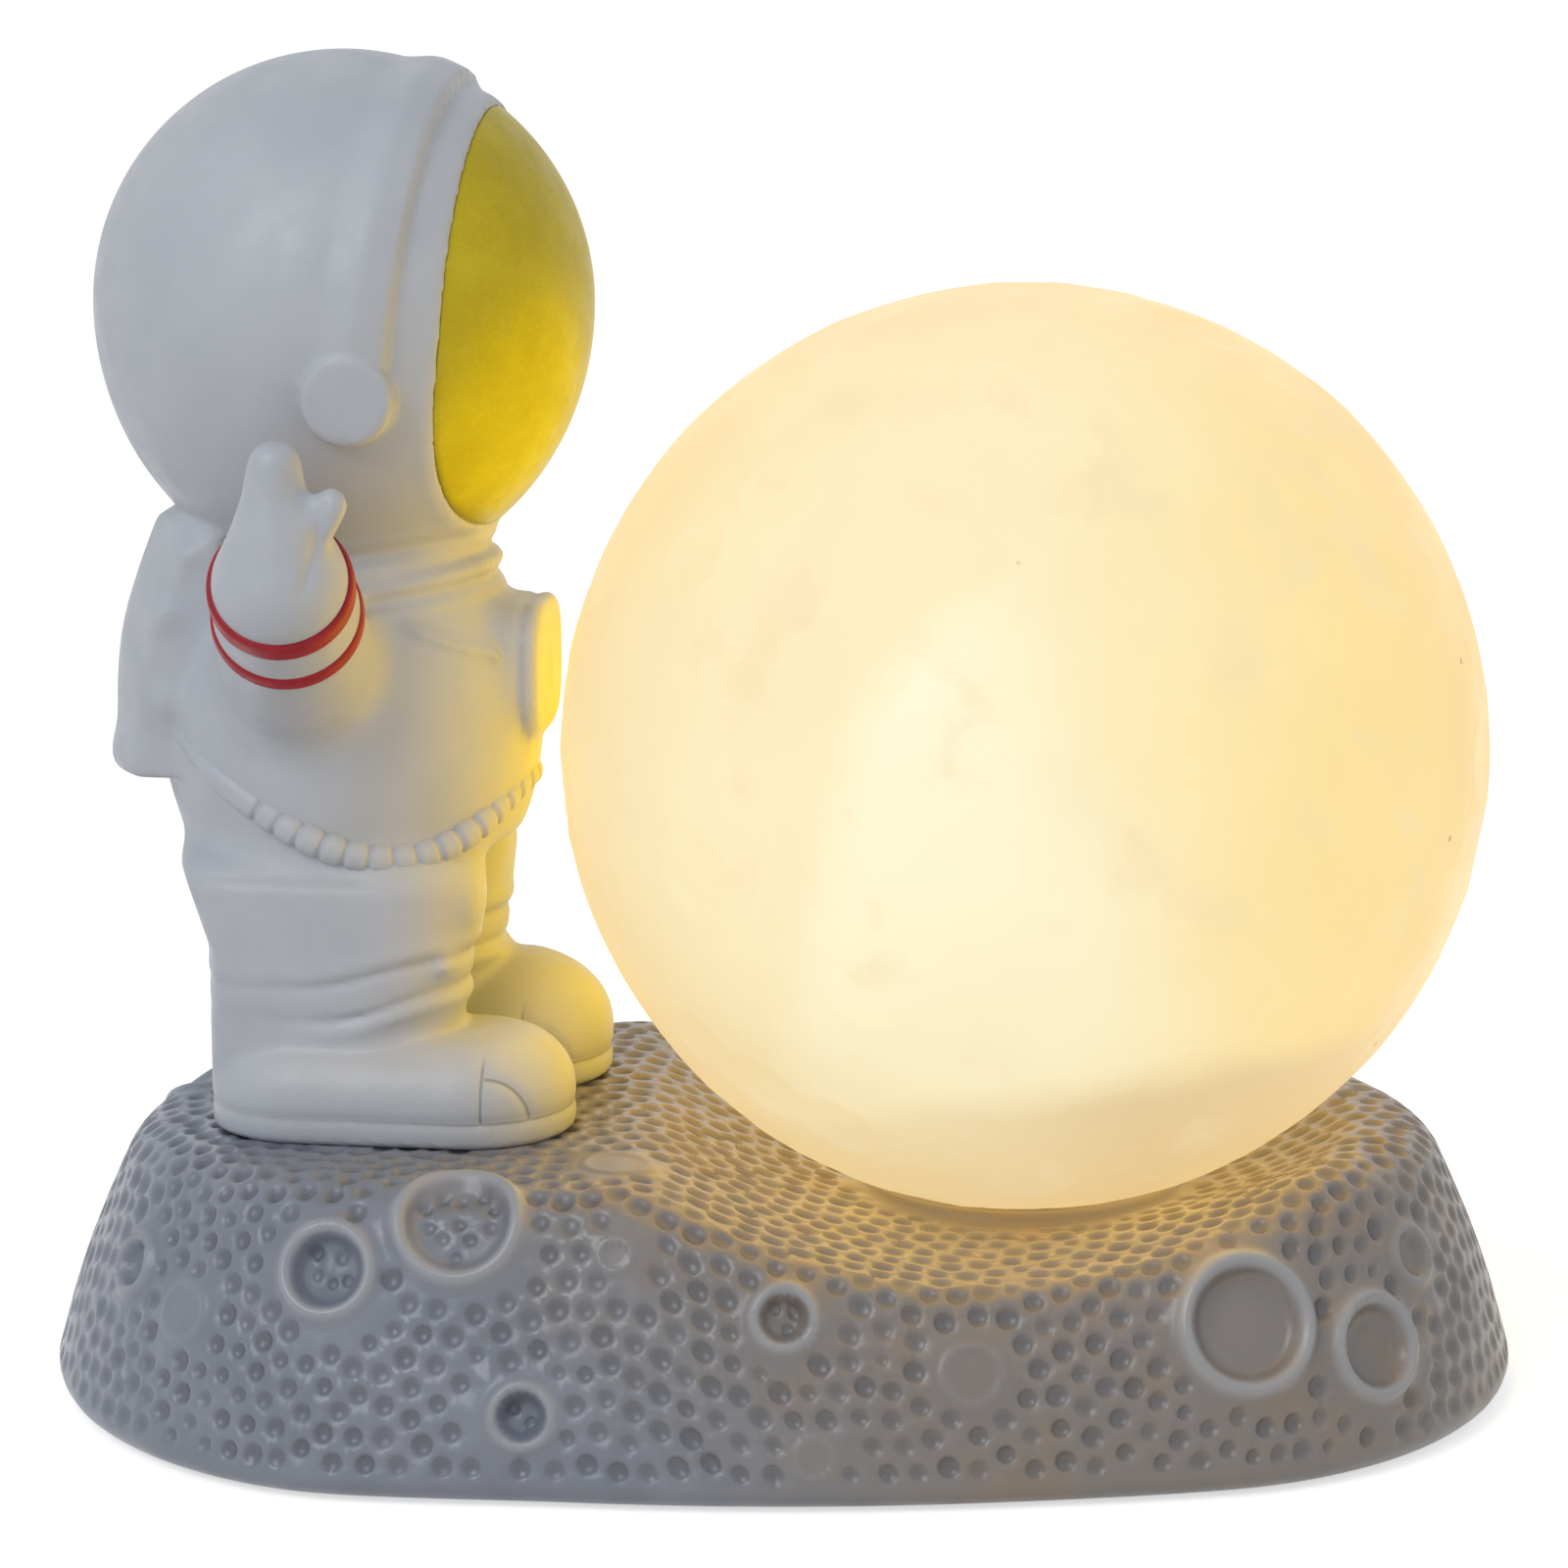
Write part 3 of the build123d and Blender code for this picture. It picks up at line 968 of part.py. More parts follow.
# Names and files
base_shell.part.label = "base_shell"
export_step(base_shell.part, "parts/base_shell.step")
bottom_cover.part.label = "bottom_cover"
export_step(bottom_cover.part, "parts/bottom_cover.step")
cover_screws.part.label = "cover_screws"
export_step(cover_screws.part, "parts/cover_screws.step")
foot_pads.part.label = "foot_pads"
export_step(foot_pads.part, "parts/foot_pads.step")
battery_box.part.label = "battery_box"
export_step(battery_box.part, "parts/battery_box.step")
battery_door.part.label = "battery_door"
export_step(battery_door.part, "parts/battery_door.step")
battery_cell_1.part.label = "battery_cell_1"
export_step(battery_cell_1.part, "parts/battery_cell_1.step")
battery_cell_2.part.label = "battery_cell_2"
export_step(battery_cell_2.part, "parts/battery_cell_2.step")
battery_cell_3.part.label = "battery_cell_3"
export_step(battery_cell_3.part, "parts/battery_cell_3.step")
contacts_front.part.label = "contacts_front"
export_step(contacts_front.part, "parts/contacts_front.step")
contacts_rear.part.label = "contacts_rear"
export_step(contacts_rear.part, "parts/contacts_rear.step")
switch_body.part.label = "switch_body"
export_step(switch_body.part, "parts/switch_body.step")
switch_slider.part.label = "switch_slider"
export_step(switch_slider.part, "parts/switch_slider.step")
switch_screws.part.label = "switch_screws"
export_step(switch_screws.part, "parts/switch_screws.step")
lamp_holder.part.label = "lamp_holder"
export_step(lamp_holder.part, "parts/lamp_holder.step")
led_board.part.label = "led_board"
export_step(led_board.part, "parts/led_board.step")
led_chips.part.label = "led_chips"
export_step(led_chips.part, "parts/led_chips.step")
moon_globe.part.label = "moon_globe"
export_step(moon_globe.part, "parts/moon_globe.step")
lead_battery.part.label = "lead_battery"
export_step(lead_battery.part, "parts/lead_battery.step")
lead_switch.part.label = "lead_switch"
export_step(lead_switch.part, "parts/lead_switch.step")
lead_return.part.label = "lead_return"
export_step(lead_return.part, "parts/lead_return.step")
right_boot.part.label = "right_boot"
export_step(right_boot.part, "parts/right_boot.step")
left_boot.part.label = "left_boot"
export_step(left_boot.part, "parts/left_boot.step")
foot_pins.part.label = "foot_pins"
export_step(foot_pins.part, "parts/foot_pins.step")
right_leg.part.label = "right_leg"
export_step(right_leg.part, "parts/right_leg.step")
left_leg.part.label = "left_leg"
export_step(left_leg.part, "parts/left_leg.step")
torso.part.label = "torso"
export_step(torso.part, "parts/torso.step")
visor.part.label = "visor"
export_step(visor.part, "parts/visor.step")
helmet.part.label = "helmet"
export_step(helmet.part, "parts/helmet.step")
hood_band.part.label = "hood_band"
export_step(hood_band.part, "parts/hood_band.step")
ear_disc_right.part.label = "ear_disc_right"
export_step(ear_disc_right.part, "parts/ear_disc_right.step")
ear_disc_left.part.label = "ear_disc_left"
export_step(ear_disc_left.part, "parts/ear_disc_left.step")
neck_ring.part.label = "neck_ring"
export_step(neck_ring.part, "parts/neck_ring.step")
backpack.part.label = "backpack"
export_step(backpack.part, "parts/backpack.step")
chest_pack.part.label = "chest_pack"
export_step(chest_pack.part, "parts/chest_pack.step")
harness_strap.part.label = "harness_strap"
export_step(harness_strap.part, "parts/harness_strap.step")
waist_hose.part.label = "waist_hose"
export_step(waist_hose.part, "parts/waist_hose.step")
right_sleeve.part.label = "right_sleeve"
export_step(right_sleeve.part, "parts/right_sleeve.step")
sleeve_bands.part.label = "sleeve_bands"
export_step(sleeve_bands.part, "parts/sleeve_bands.step")
right_hand.part.label = "right_hand"
export_step(right_hand.part, "parts/right_hand.step")
left_sleeve.part.label = "left_sleeve"
export_step(left_sleeve.part, "parts/left_sleeve.step")
left_hand.part.label = "left_hand"
export_step(left_hand.part, "parts/left_hand.step")
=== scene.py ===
import logging
import math
from dataclasses import dataclass
from enum import Enum

import bpy
import numpy as np
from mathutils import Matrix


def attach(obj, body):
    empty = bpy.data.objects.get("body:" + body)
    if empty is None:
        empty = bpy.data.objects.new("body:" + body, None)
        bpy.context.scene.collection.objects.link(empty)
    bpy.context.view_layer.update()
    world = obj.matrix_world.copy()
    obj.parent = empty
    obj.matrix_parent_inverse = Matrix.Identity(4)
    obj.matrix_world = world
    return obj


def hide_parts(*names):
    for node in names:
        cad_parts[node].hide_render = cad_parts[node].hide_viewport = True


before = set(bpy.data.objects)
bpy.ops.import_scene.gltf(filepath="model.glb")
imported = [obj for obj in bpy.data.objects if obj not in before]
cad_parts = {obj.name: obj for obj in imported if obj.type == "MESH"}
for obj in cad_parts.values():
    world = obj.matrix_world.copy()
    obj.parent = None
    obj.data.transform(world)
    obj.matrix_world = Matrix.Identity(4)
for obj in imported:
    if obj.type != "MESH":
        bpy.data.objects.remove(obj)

import openvdb as vdb
from mathutils import Vector, geometry

MM = 0.001
NUMBER = "NodeSocketFloat"
COLOUR = "NodeSocketColor"
SHAPE = "NodeSocketGeometry"
LOG = logging.getLogger("moon_lamp")
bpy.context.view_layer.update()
Triple = tuple[float, float, float]
Colour = Triple
Array = np.ndarray


class Slot(Enum):
    """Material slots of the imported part."""

    BASE = "base_grey"
    COVER = "cover_black"
    STEEL = "steel"
    PAD = "pad_rubber"
    CELL = "cell_jacket"
    SWITCH = "switch_black"
    HOLDER = "holder_white"
    BOARD = "board_green"
    LED = "led_yellow"
    GLOBE = "globe_cream"
    LEAD_RED = "lead_red"
    LEAD_BLACK = "lead_black"
    SUIT = "suit_white"
    VISOR = "visor_gold"
    STRIPE = "stripe_red"


def ease(value: Array, low: float, high: float) -> Array:
    """Smooth step of a value.

    Args:
        value: The values to map.
        low: Where the step starts.
        high: Where the step ends.

    Returns:
        Shares between 0 and 1.
    """
    share = np.clip((value - low) / (high - low), 0.0, 1.0)
    return share * share * (3.0 - 2.0 * share)


def hump(value: Array, width: float) -> Array:
    """Bell curve of a value around zero, with the given width."""
    return np.exp(-np.square(value / width))


def full_turn(count: int) -> Array:
    """This many even angles round a full turn."""
    return np.arange(count) * 2.0 * np.pi / count


def unit(vector: Triple) -> Array:
    """Direction of a vector as an array of length one."""
    made = np.array(vector, float)
    return made / np.linalg.norm(made)


class Wiring:
    """Short hand for building one node tree."""

    def __init__(self, tree: bpy.types.NodeTree) -> None:
        """Keeps the tree that the nodes go in."""
        self.tree = tree

    def node(self, kind: str, **settings: object) -> bpy.types.Node:
        """Adds a node.

        Args:
            kind: The node's type name.
            settings: Properties to set on it.

        Returns:
            The new node.
        """
        made = self.tree.nodes.new(kind)
        for key, value in settings.items():
            setattr(made, key, value)
        return made

    def feed(self, socket: bpy.types.NodeSocket, source: object) -> None:
        """Links a socket to another one, or sets its plain value."""
        if isinstance(source, bpy.types.NodeSocket):
            self.tree.links.new(source, socket)
        else:
            socket.default_value = source

    def math(self, operation: str, *sources: object) -> bpy.types.NodeSocket:
        """Adds a maths node.

        Args:
            operation: Name of the operation.
            sources: Sockets or numbers for its inputs.

        Returns:
            The result socket.
        """
        made = self.node("ShaderNodeMath", operation=operation)
        for socket, source in zip(made.inputs, sources):
            self.feed(socket, source)
        return made.outputs[0]

    def product(self, *factors: object) -> object:
        """Multiplies sockets or numbers and returns the result socket."""
        result = factors[0]
        for factor in factors[1:]:
            result = self.math("MULTIPLY", result, factor)
        return result

    def total(self, first: object, second: object) -> object:
        """Adds two sockets or numbers and returns the result socket."""
        return self.math("ADD", first, second)

    def less(self, first: object, second: object) -> object:
        """Takes the second socket or number from the first and returns the result socket."""
        return self.math("SUBTRACT", first, second)

    def place(self) -> object:
        """Adds the object's own coordinates and returns their socket."""
        return self.node("ShaderNodeTexCoord").outputs["Object"]

    def axes(self, source: object) -> object:
        """Parts a vector into its three numbers and returns their sockets."""
        made = self.node("ShaderNodeSeparateXYZ")
        self.feed(made.inputs[0], source)
        return made.outputs

    def painted(self, shape: object, material: object) -> object:
        """Smooths, realises and paints grown geometry and returns its socket."""
        smooth = self.node("GeometryNodeSetShadeSmooth")
        self.feed(smooth.inputs[0], shape)
        real = self.node("GeometryNodeRealizeInstances")
        self.feed(real.inputs[0], smooth.outputs[0])
        paint = self.node("GeometryNodeSetMaterial")
        self.feed(paint.inputs["Geometry"], real.outputs[0])
        self.feed(paint.inputs["Material"], material)
        return paint.outputs[0]

    def vector(self, operation: str, *sources: object) -> bpy.types.Node:
        """Adds a vector maths node with its inputs fed and returns it."""
        made = self.node("ShaderNodeVectorMath", operation=operation)
        for socket, source in zip(made.inputs, sources):
            self.feed(socket, source)
        return made

    def window(
        self, value: object, low: float, high: float, first: float = 0.0, last: float = 1.0
    ) -> object:
        """Maps a value smoothly.

        Args:
            value: Socket to map.
            low: Value that gives first.
            high: Value that gives last.
            first: Result at low.
            last: Result at high.

        Returns:
            The result socket.
        """
        made = self.node("ShaderNodeMapRange", interpolation_type="SMOOTHSTEP")
        labels = ("Value", "From Min", "From Max", "To Min", "To Max")
        for label, source in zip(labels, (value, low, high, first, last)):
            self.feed(made.inputs[label], source)
        return made.outputs["Result"]

    def mix(self, share: object, first: object, second: object) -> object:
        """Blends two colours.

        Args:
            share: Socket or number, 0 for the first colour and 1 for the second.
            first: Socket or colour.
            second: Socket or colour.

        Returns:
            The colour socket.
        """
        made = self.node("ShaderNodeMix", data_type="RGBA")
        self.feed(made.inputs["Factor"], share)
        for socket, source in zip((made.inputs[6], made.inputs[7]), (first, second)):
            self.feed(socket, source)
        return made.outputs[2]

    def noise(self, place: object, scale: object, detail: float = 3.0) -> object:
        """Adds a noise texture and returns its value socket."""
        made = self.node("ShaderNodeTexNoise")
        self.feed(made.inputs["Vector"], place)
        self.feed(made.inputs["Scale"], scale)
        self.feed(made.inputs["Detail"], detail)
        return made.outputs[0]

    def group(self, tree: bpy.types.NodeTree, **values: object) -> bpy.types.Node:
        """Adds a shared group.

        Args:
            tree: The group's node tree.
            values: Plain values for its named inputs.

        Returns:
            The group node.
        """
        made = self.node("ShaderNodeGroup", node_tree=tree)
        for label, value in values.items():
            self.feed(made.inputs[label], value)
        return made


def node_group(
    name: str, inputs: dict[str, str], outputs: dict[str, str], kind: str = "ShaderNodeTree"
) -> tuple[Wiring, bpy.types.Node, bpy.types.Node]:
    """Starts a node group.

    Args:
        name: The group's name.
        inputs: Socket types by input name.
        outputs: Socket types by output name.
        kind: Type name of its tree.

    Returns:
        Its wiring, its input node and its output node.
    """
    tree = bpy.data.node_groups.new(name, kind)
    for way, sockets in (("INPUT", inputs), ("OUTPUT", outputs)):
        for label, socket in sockets.items():
            tree.interface.new_socket(label, in_out=way, socket_type=socket)
    wire = Wiring(tree)
    return wire, wire.node("NodeGroupInput"), wire.node("NodeGroupOutput")


def tone_group() -> bpy.types.NodeTree:
    """Builds, once, the shared group that mottles two tones in soft patches."""
    name = "mottled tone"
    if name in bpy.data.node_groups:
        return bpy.data.node_groups[name]
    inputs = {"Light": COLOUR, "Dark": COLOUR, "Scale": NUMBER}
    wire, start, end = node_group(name, inputs, {"Colour": COLOUR})
    share = wire.window(wire.noise(wire.place(), start.outputs["Scale"], 5.0), 0.34, 0.66)
    wire.feed(end.inputs["Colour"], wire.mix(share, start.outputs["Dark"], start.outputs["Light"]))
    return wire.tree


def grain_group() -> bpy.types.NodeTree:
    """Builds, once, the shared group of fine surface grain: a height and a slower sheen change."""
    name = "fine grain"
    if name in bpy.data.node_groups:
        return bpy.data.node_groups[name]
    wire, start, end = node_group(name, {"Scale": NUMBER}, {"Height": NUMBER, "Sheen": NUMBER})
    place = wire.place()
    wire.feed(end.inputs["Height"], wire.noise(place, start.outputs["Scale"], 4.0))
    slower = wire.product(start.outputs["Scale"], 0.12)
    wire.feed(end.inputs["Sheen"], wire.noise(place, slower, 4.0))
    return wire.tree


@dataclass(frozen=True)
class Finish:
    """A painted or moulded finish with mottled tone, fine grain and uneven gloss.

    Attributes:
        slot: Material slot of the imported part.
        light: Lighter tone, linear.
        dark: Darker tone, linear.
        patch: Size of the tone patches.
        grain: Size of the grain.
        relief: Depth of the grain.
        rough: Least and greatest roughness.
        metallic: Share of metal.
        coat: Clear coat weight.
        gloss: Strength of the white shine.
    """

    slot: Slot
    light: Colour
    dark: Colour
    patch: float = 12.0
    grain: float = 0.5
    relief: float = 0.03
    rough: tuple[float, float] = (0.42, 0.58)
    metallic: float = 0.0
    coat: float = 0.0
    gloss: float = 0.5

    def material(self) -> bpy.types.Material:
        """Builds the material and returns it."""
        made = bpy.data.materials.new(f"{self.slot.value}_finish")
        made.use_nodes = True
        wire = Wiring(made.node_tree)
        shader = made.node_tree.nodes["Principled BSDF"]
        wire.feed(shader.inputs["Base Color"], self.tone(wire))
        grain = wire.group(grain_group(), Scale=1.0 / (self.grain * MM))
        wire.feed(shader.inputs["Roughness"], wire.window(grain.outputs["Sheen"], 0.3, 0.7, *self.rough))
        shader.inputs["Metallic"].default_value = self.metallic
        shader.inputs["Coat Weight"].default_value = self.coat
        shader.inputs["Specular IOR Level"].default_value = self.gloss
        shader.inputs["Coat Roughness"].default_value = 0.22
        bump = wire.node("ShaderNodeBump")
        bump.inputs["Strength"].default_value = 0.6
        bump.inputs["Distance"].default_value = self.relief * MM
        wire.feed(bump.inputs["Height"], grain.outputs["Height"])
        wire.feed(shader.inputs["Normal"], bump.outputs["Normal"])
        self.extra(wire, shader)
        return made

    def tone(self, wire: Wiring) -> object:
        """Returns the colour socket of the mottled tone."""
        values = {"Light": (*self.light, 1.0), "Dark": (*self.dark, 1.0), "Scale": 1.0 / (self.patch * MM)}
        return wire.group(tone_group(), **values).outputs["Colour"]

    def extra(self, wire: Wiring, shader: bpy.types.Node) -> None:
        """Adds nothing; finishes with more to them add it here."""


@dataclass(frozen=True)
class PittedFinish(Finish):
    """Grey paint, with painted shade in the hollows of the base, a painted highlight on its crests and
    painted warm light of the glowing globe beside it.
    """

    pit_shade: Colour = (0.085, 0.09, 0.105)
    # crest: painted highlight colour for raised crater rims
    crest: Colour = (0.33, 0.345, 0.38)
    # Painted warm light of the glowing globe, browner and darker than the grey, with uneven brown patches
    # inside it
    globe_light: Colour = (0.2, 0.177, 0.163)
    globe_light_patch: Colour = (0.25, 0.185, 0.115)
    globe_light_patch_size: float = 7.0
    globe_light_start: float = -14.0
    globe_light_end: float = 26.0
    climb: float = 1.2

    def tone(self, wire: Wiring) -> object:
        """Returns the mottled tone with painted warm light toward the globe, painted shade in the pits and
        a painted highlight on the crests.
        """
        place = wire.place()
        across, _, up = wire.axes(place)
        # Painted globe light: grows toward the globe's side and upward, with brown patches only inside it
        near = wire.total(across, wire.product(up, self.climb))
        share = wire.window(near, self.globe_light_start * MM, self.globe_light_end * MM, 0.0, 0.85)
        plain = wire.mix(share, Finish.tone(self, wire), (*self.globe_light, 1.0))
        spots = wire.noise(place, 1.0 / (self.globe_light_patch_size * MM), 5.0)
        patchy_light = wire.product(wire.window(spots, 0.5, 0.68, 0.0, 0.45), share)
        plain = wire.mix(patchy_light, plain, (*self.globe_light_patch, 1.0))
        pit = wire.node("ShaderNodeAttribute", attribute_name="pit").outputs["Fac"]
        # Painted shade: darker by how deep a point lies in a dimple
        dark = wire.mix(wire.window(pit, 0.0, 1.0, 0.0, 0.6), plain, (*self.pit_shade, 1.0))
        # Painted highlight: lighter where crater rims stand up
        return wire.mix(wire.window(pit, 0.0, -1.0, 0.0, 0.75), dark, (*self.crest, 1.0))


@dataclass(frozen=True)
class FlakeFinish(Finish):
    """Satin gold paint with fine metal flakes."""

    flake: Colour = (0.80, 0.60, 0.12)
    flake_size: float = 0.35

    def tone(self, wire: Wiring) -> object:
        """Returns the mottled tone with sparse bright flakes."""
        cells = wire.node("ShaderNodeTexVoronoi")
        wire.feed(cells.inputs["Vector"], wire.place())
        cells.inputs["Scale"].default_value = 1.0 / (self.flake_size * MM)
        pick = wire.node("ShaderNodeSeparateColor")
        wire.feed(pick.inputs[0], cells.outputs["Color"])
        share = wire.window(pick.outputs[0], 0.6, 1.0, 0.0, 0.06)
        return wire.mix(share, Finish.tone(self, wire), (*self.flake, 1.0))


@dataclass(frozen=True)
class GlowFinish(Finish):
    """Lit moon globe: warm glow with brighter and dimmer parts, placed in radii of the globe."""

    centre: Triple = (24.7, 0.0, 65.69)
    radius: float = 47.0
    glow: Colour = (0.78, 0.665, 0.385)
    right: Colour = (0.80, 0.605, 0.21)
    bright: Colour = (0.80, 0.76, 0.54)
    low: Colour = (0.60, 0.45, 0.22)
    smudge: Colour = (0.72, 0.57, 0.32)
    edge: Colour = (0.74, 0.53, 0.24)
    speck: Colour = (0.25, 0.14, 0.06)
    upright: Triple = (0.0, 0.208, 0.978)
    strength: float = 1.0

    def extra(self, wire: Wiring, shader: bpy.types.Node) -> None:
        """Adds the glow pattern.

        Args:
            wire: The material's wiring.
            shader: The material's shader node.
        """
        middle = tuple(value * MM for value in self.centre)
        offset = wire.vector("SUBTRACT", wire.place(), middle).outputs[0]
        ball = wire.vector("SCALE", offset)
        ball.inputs["Scale"].default_value = 1.0 / (self.radius * MM)
        across, deep, _ = wire.axes(ball.outputs[0])
        up = wire.vector("DOT_PRODUCT", ball.outputs[0], self.upright).outputs["Value"]
        wobble = wire.noise(ball.outputs[0], 3.0, 5.0)
        soft = wire.product(wire.less(wobble, 0.5), 0.25)
        side = wire.window(wire.total(across, soft), -0.1, 0.8)
        colour = wire.mix(side, (*self.glow, 1.0), (*self.right, 1.0))
        colour = wire.mix(self.patch_share(wire, across, deep, up, soft), colour, (*self.bright, 1.0))
        tilt = wire.less(up, wire.product(across, 0.16))
        cap = wire.window(wire.total(tilt, wire.product(soft, 0.4)), -0.66, -0.76)
        cap = wire.product(cap, wire.window(across, -0.4, 0.3, 0.3, 0.95))
        colour = wire.mix(cap, colour, (*self.low, 1.0))
        graze = wire.node("ShaderNodeLayerWeight")
        graze.inputs["Blend"].default_value = 0.5
        rim = wire.window(graze.outputs["Facing"], 0.2, 1.0, 0.0, 0.8)
        colour = wire.mix(rim, colour, (*self.edge, 1.0))
        smudges = wire.window(wire.noise(ball.outputs[0], 4.5, 6.0), 0.52, 0.72, 0.0, 0.55)
        colour = wire.mix(smudges, colour, (*self.smudge, 1.0))
        cells = wire.node("ShaderNodeTexVoronoi")
        wire.feed(cells.inputs["Vector"], ball.outputs[0])
        cells.inputs["Scale"].default_value = 3.2
        specks = wire.window(cells.outputs["Distance"], 0.03, 0.015, 0.0, 0.7)
        colour = wire.mix(specks, colour, (*self.speck, 1.0))
        wire.feed(shader.inputs["Emission Color"], colour)
        path = wire.node("ShaderNodeLightPath")
        straight = wire.math("MAXIMUM", path.outputs["Is Camera Ray"], path.outputs["Is Transmission Ray"])
        wire.feed(shader.inputs["Emission Strength"], wire.product(straight, self.strength))

    def patch_share(self, wire: Wiring, across: object, deep: object, up: object, soft: object) -> object:
        """Share of the brighter wedge that the lights inside throw on the front.

        Args:
            wire: The material's wiring.
            across: Socket of the sideways place.
            deep: Socket of the depth place.
            up: Socket of the height place.
            soft: Socket of an uneven offset.

        Returns:
            The share socket.
        """
        bowed = wire.product(wire.math("POWER", wire.math("MAXIMUM", up, 0.0), 2.0), 2.2)
        start = wire.total(wire.product(up, 0.2), wire.less(bowed, 0.42))
        end = wire.product(wire.total(up, 0.02), -0.42)
        place = wire.total(across, wire.product(soft, 0.6))
        sharp = wire.window(wire.less(place, start), -0.05, 0.11)
        faded = wire.window(wire.less(end, place), -0.2, 0.2)
        front = wire.window(deep, 0.1, -0.4)
        height = wire.window(up, -0.9, 0.05, 0.3, 1.0)
        return wire.product(sharp, faded, front, height)


@dataclass(frozen=True)
class Stance:
    """Where the figure stands and which way it faces."""

    x: float = -44.0
    y: float = 4.0
    turn: float = math.radians(-8.0)
    head_z: float = 110.5
    head_radius: float = 25.2
    ear_drop: float = 6.6

    def local(self, x: Array, y: Array) -> tuple[Array, Array]:
        """Forward and leftward places of points given in the lamp's frame."""
        forward = (x - self.x) * math.cos(self.turn) + (y - self.y) * math.sin(self.turn)
        left = (y - self.y) * math.cos(self.turn) - (x - self.x) * math.sin(self.turn)
        return forward, left

    def world(self, forward: float, left: float, height: float) -> Array:
        """Point in the lamp's frame from the figure's own places."""
        x = self.x + forward * math.cos(self.turn) - left * math.sin(self.turn)
        y = self.y + forward * math.sin(self.turn) + left * math.cos(self.turn)
        return np.array((x, y, height))

    def heading(self, forward: float, left: float, up: float) -> Array:
        """Direction in the lamp's frame from the figure's own one."""
        return unit(tuple(self.world(forward, left, up) - np.array((self.x, self.y, 0.0))))

    def head(self) -> Array:
        """Middle of the helmet ball."""
        return np.array((self.x, self.y, self.head_z))


@dataclass(frozen=True)
class GrooveShadeFinish(Finish):
    """White suit paint with thin lines of painted shade along the seam grooves of the boots."""

    stance: Stance = Stance()
    # Painted shade colour for the boots' grooves
    groove_shade: Colour = (0.16, 0.16, 0.165)
    thin: float = 0.13
    sole_z: float = 31.2
    cap_forward: float = 16.9
    cap_z: float = 38.0
    arc_radius: float = 4.4

    def tone(self, wire: Wiring) -> object:
        """Returns the mottled tone with the painted shade of the boot grooves drawn over it."""
        start = tuple(self.stance.world(self.cap_forward, 0.0, self.sole_z) * MM)
        offset = wire.vector("SUBTRACT", wire.place(), start).outputs[0]
        forward, up = (
            wire.product(wire.vector("DOT_PRODUCT", offset, aim).outputs["Value"], 1.0 / MM)
            for aim in (tuple(self.stance.heading(1.0, 0.0, 0.0)), (0.0, 0.0, 1.0))
        )
        high = wire.window(up, self.cap_z - self.sole_z, self.cap_z - self.sole_z - 2.0)
        above = wire.window(up, -0.05, 0.05)
        cap = wire.product(self.line(wire, forward), high, above)
        squares = [wire.math("POWER", value, 2.0) for value in (forward, up)]
        far = wire.math("SQRT", wire.total(*squares))
        bow = self.line(wire, wire.less(far, self.arc_radius))
        bow = wire.product(bow, wire.window(forward, 0.0, 0.4), above)
        sole = wire.product(self.line(wire, up), wire.window(forward, -16.0, 4.0, 0.15, 0.7))
        # Painted shade along the toe cap, toe arc and sole grooves
        seams = wire.math("MAXIMUM", wire.math("MAXIMUM", cap, bow), sole)
        share = wire.product(seams, 0.62)
        return wire.mix(share, Finish.tone(self, wire), (*self.groove_shade, 1.0))

    def line(self, wire: Wiring, value: object) -> object:
        """Share of a thin line where a value is zero."""
        return wire.window(wire.math("ABSOLUTE", value), self.thin * 1.6, self.thin * 0.5)


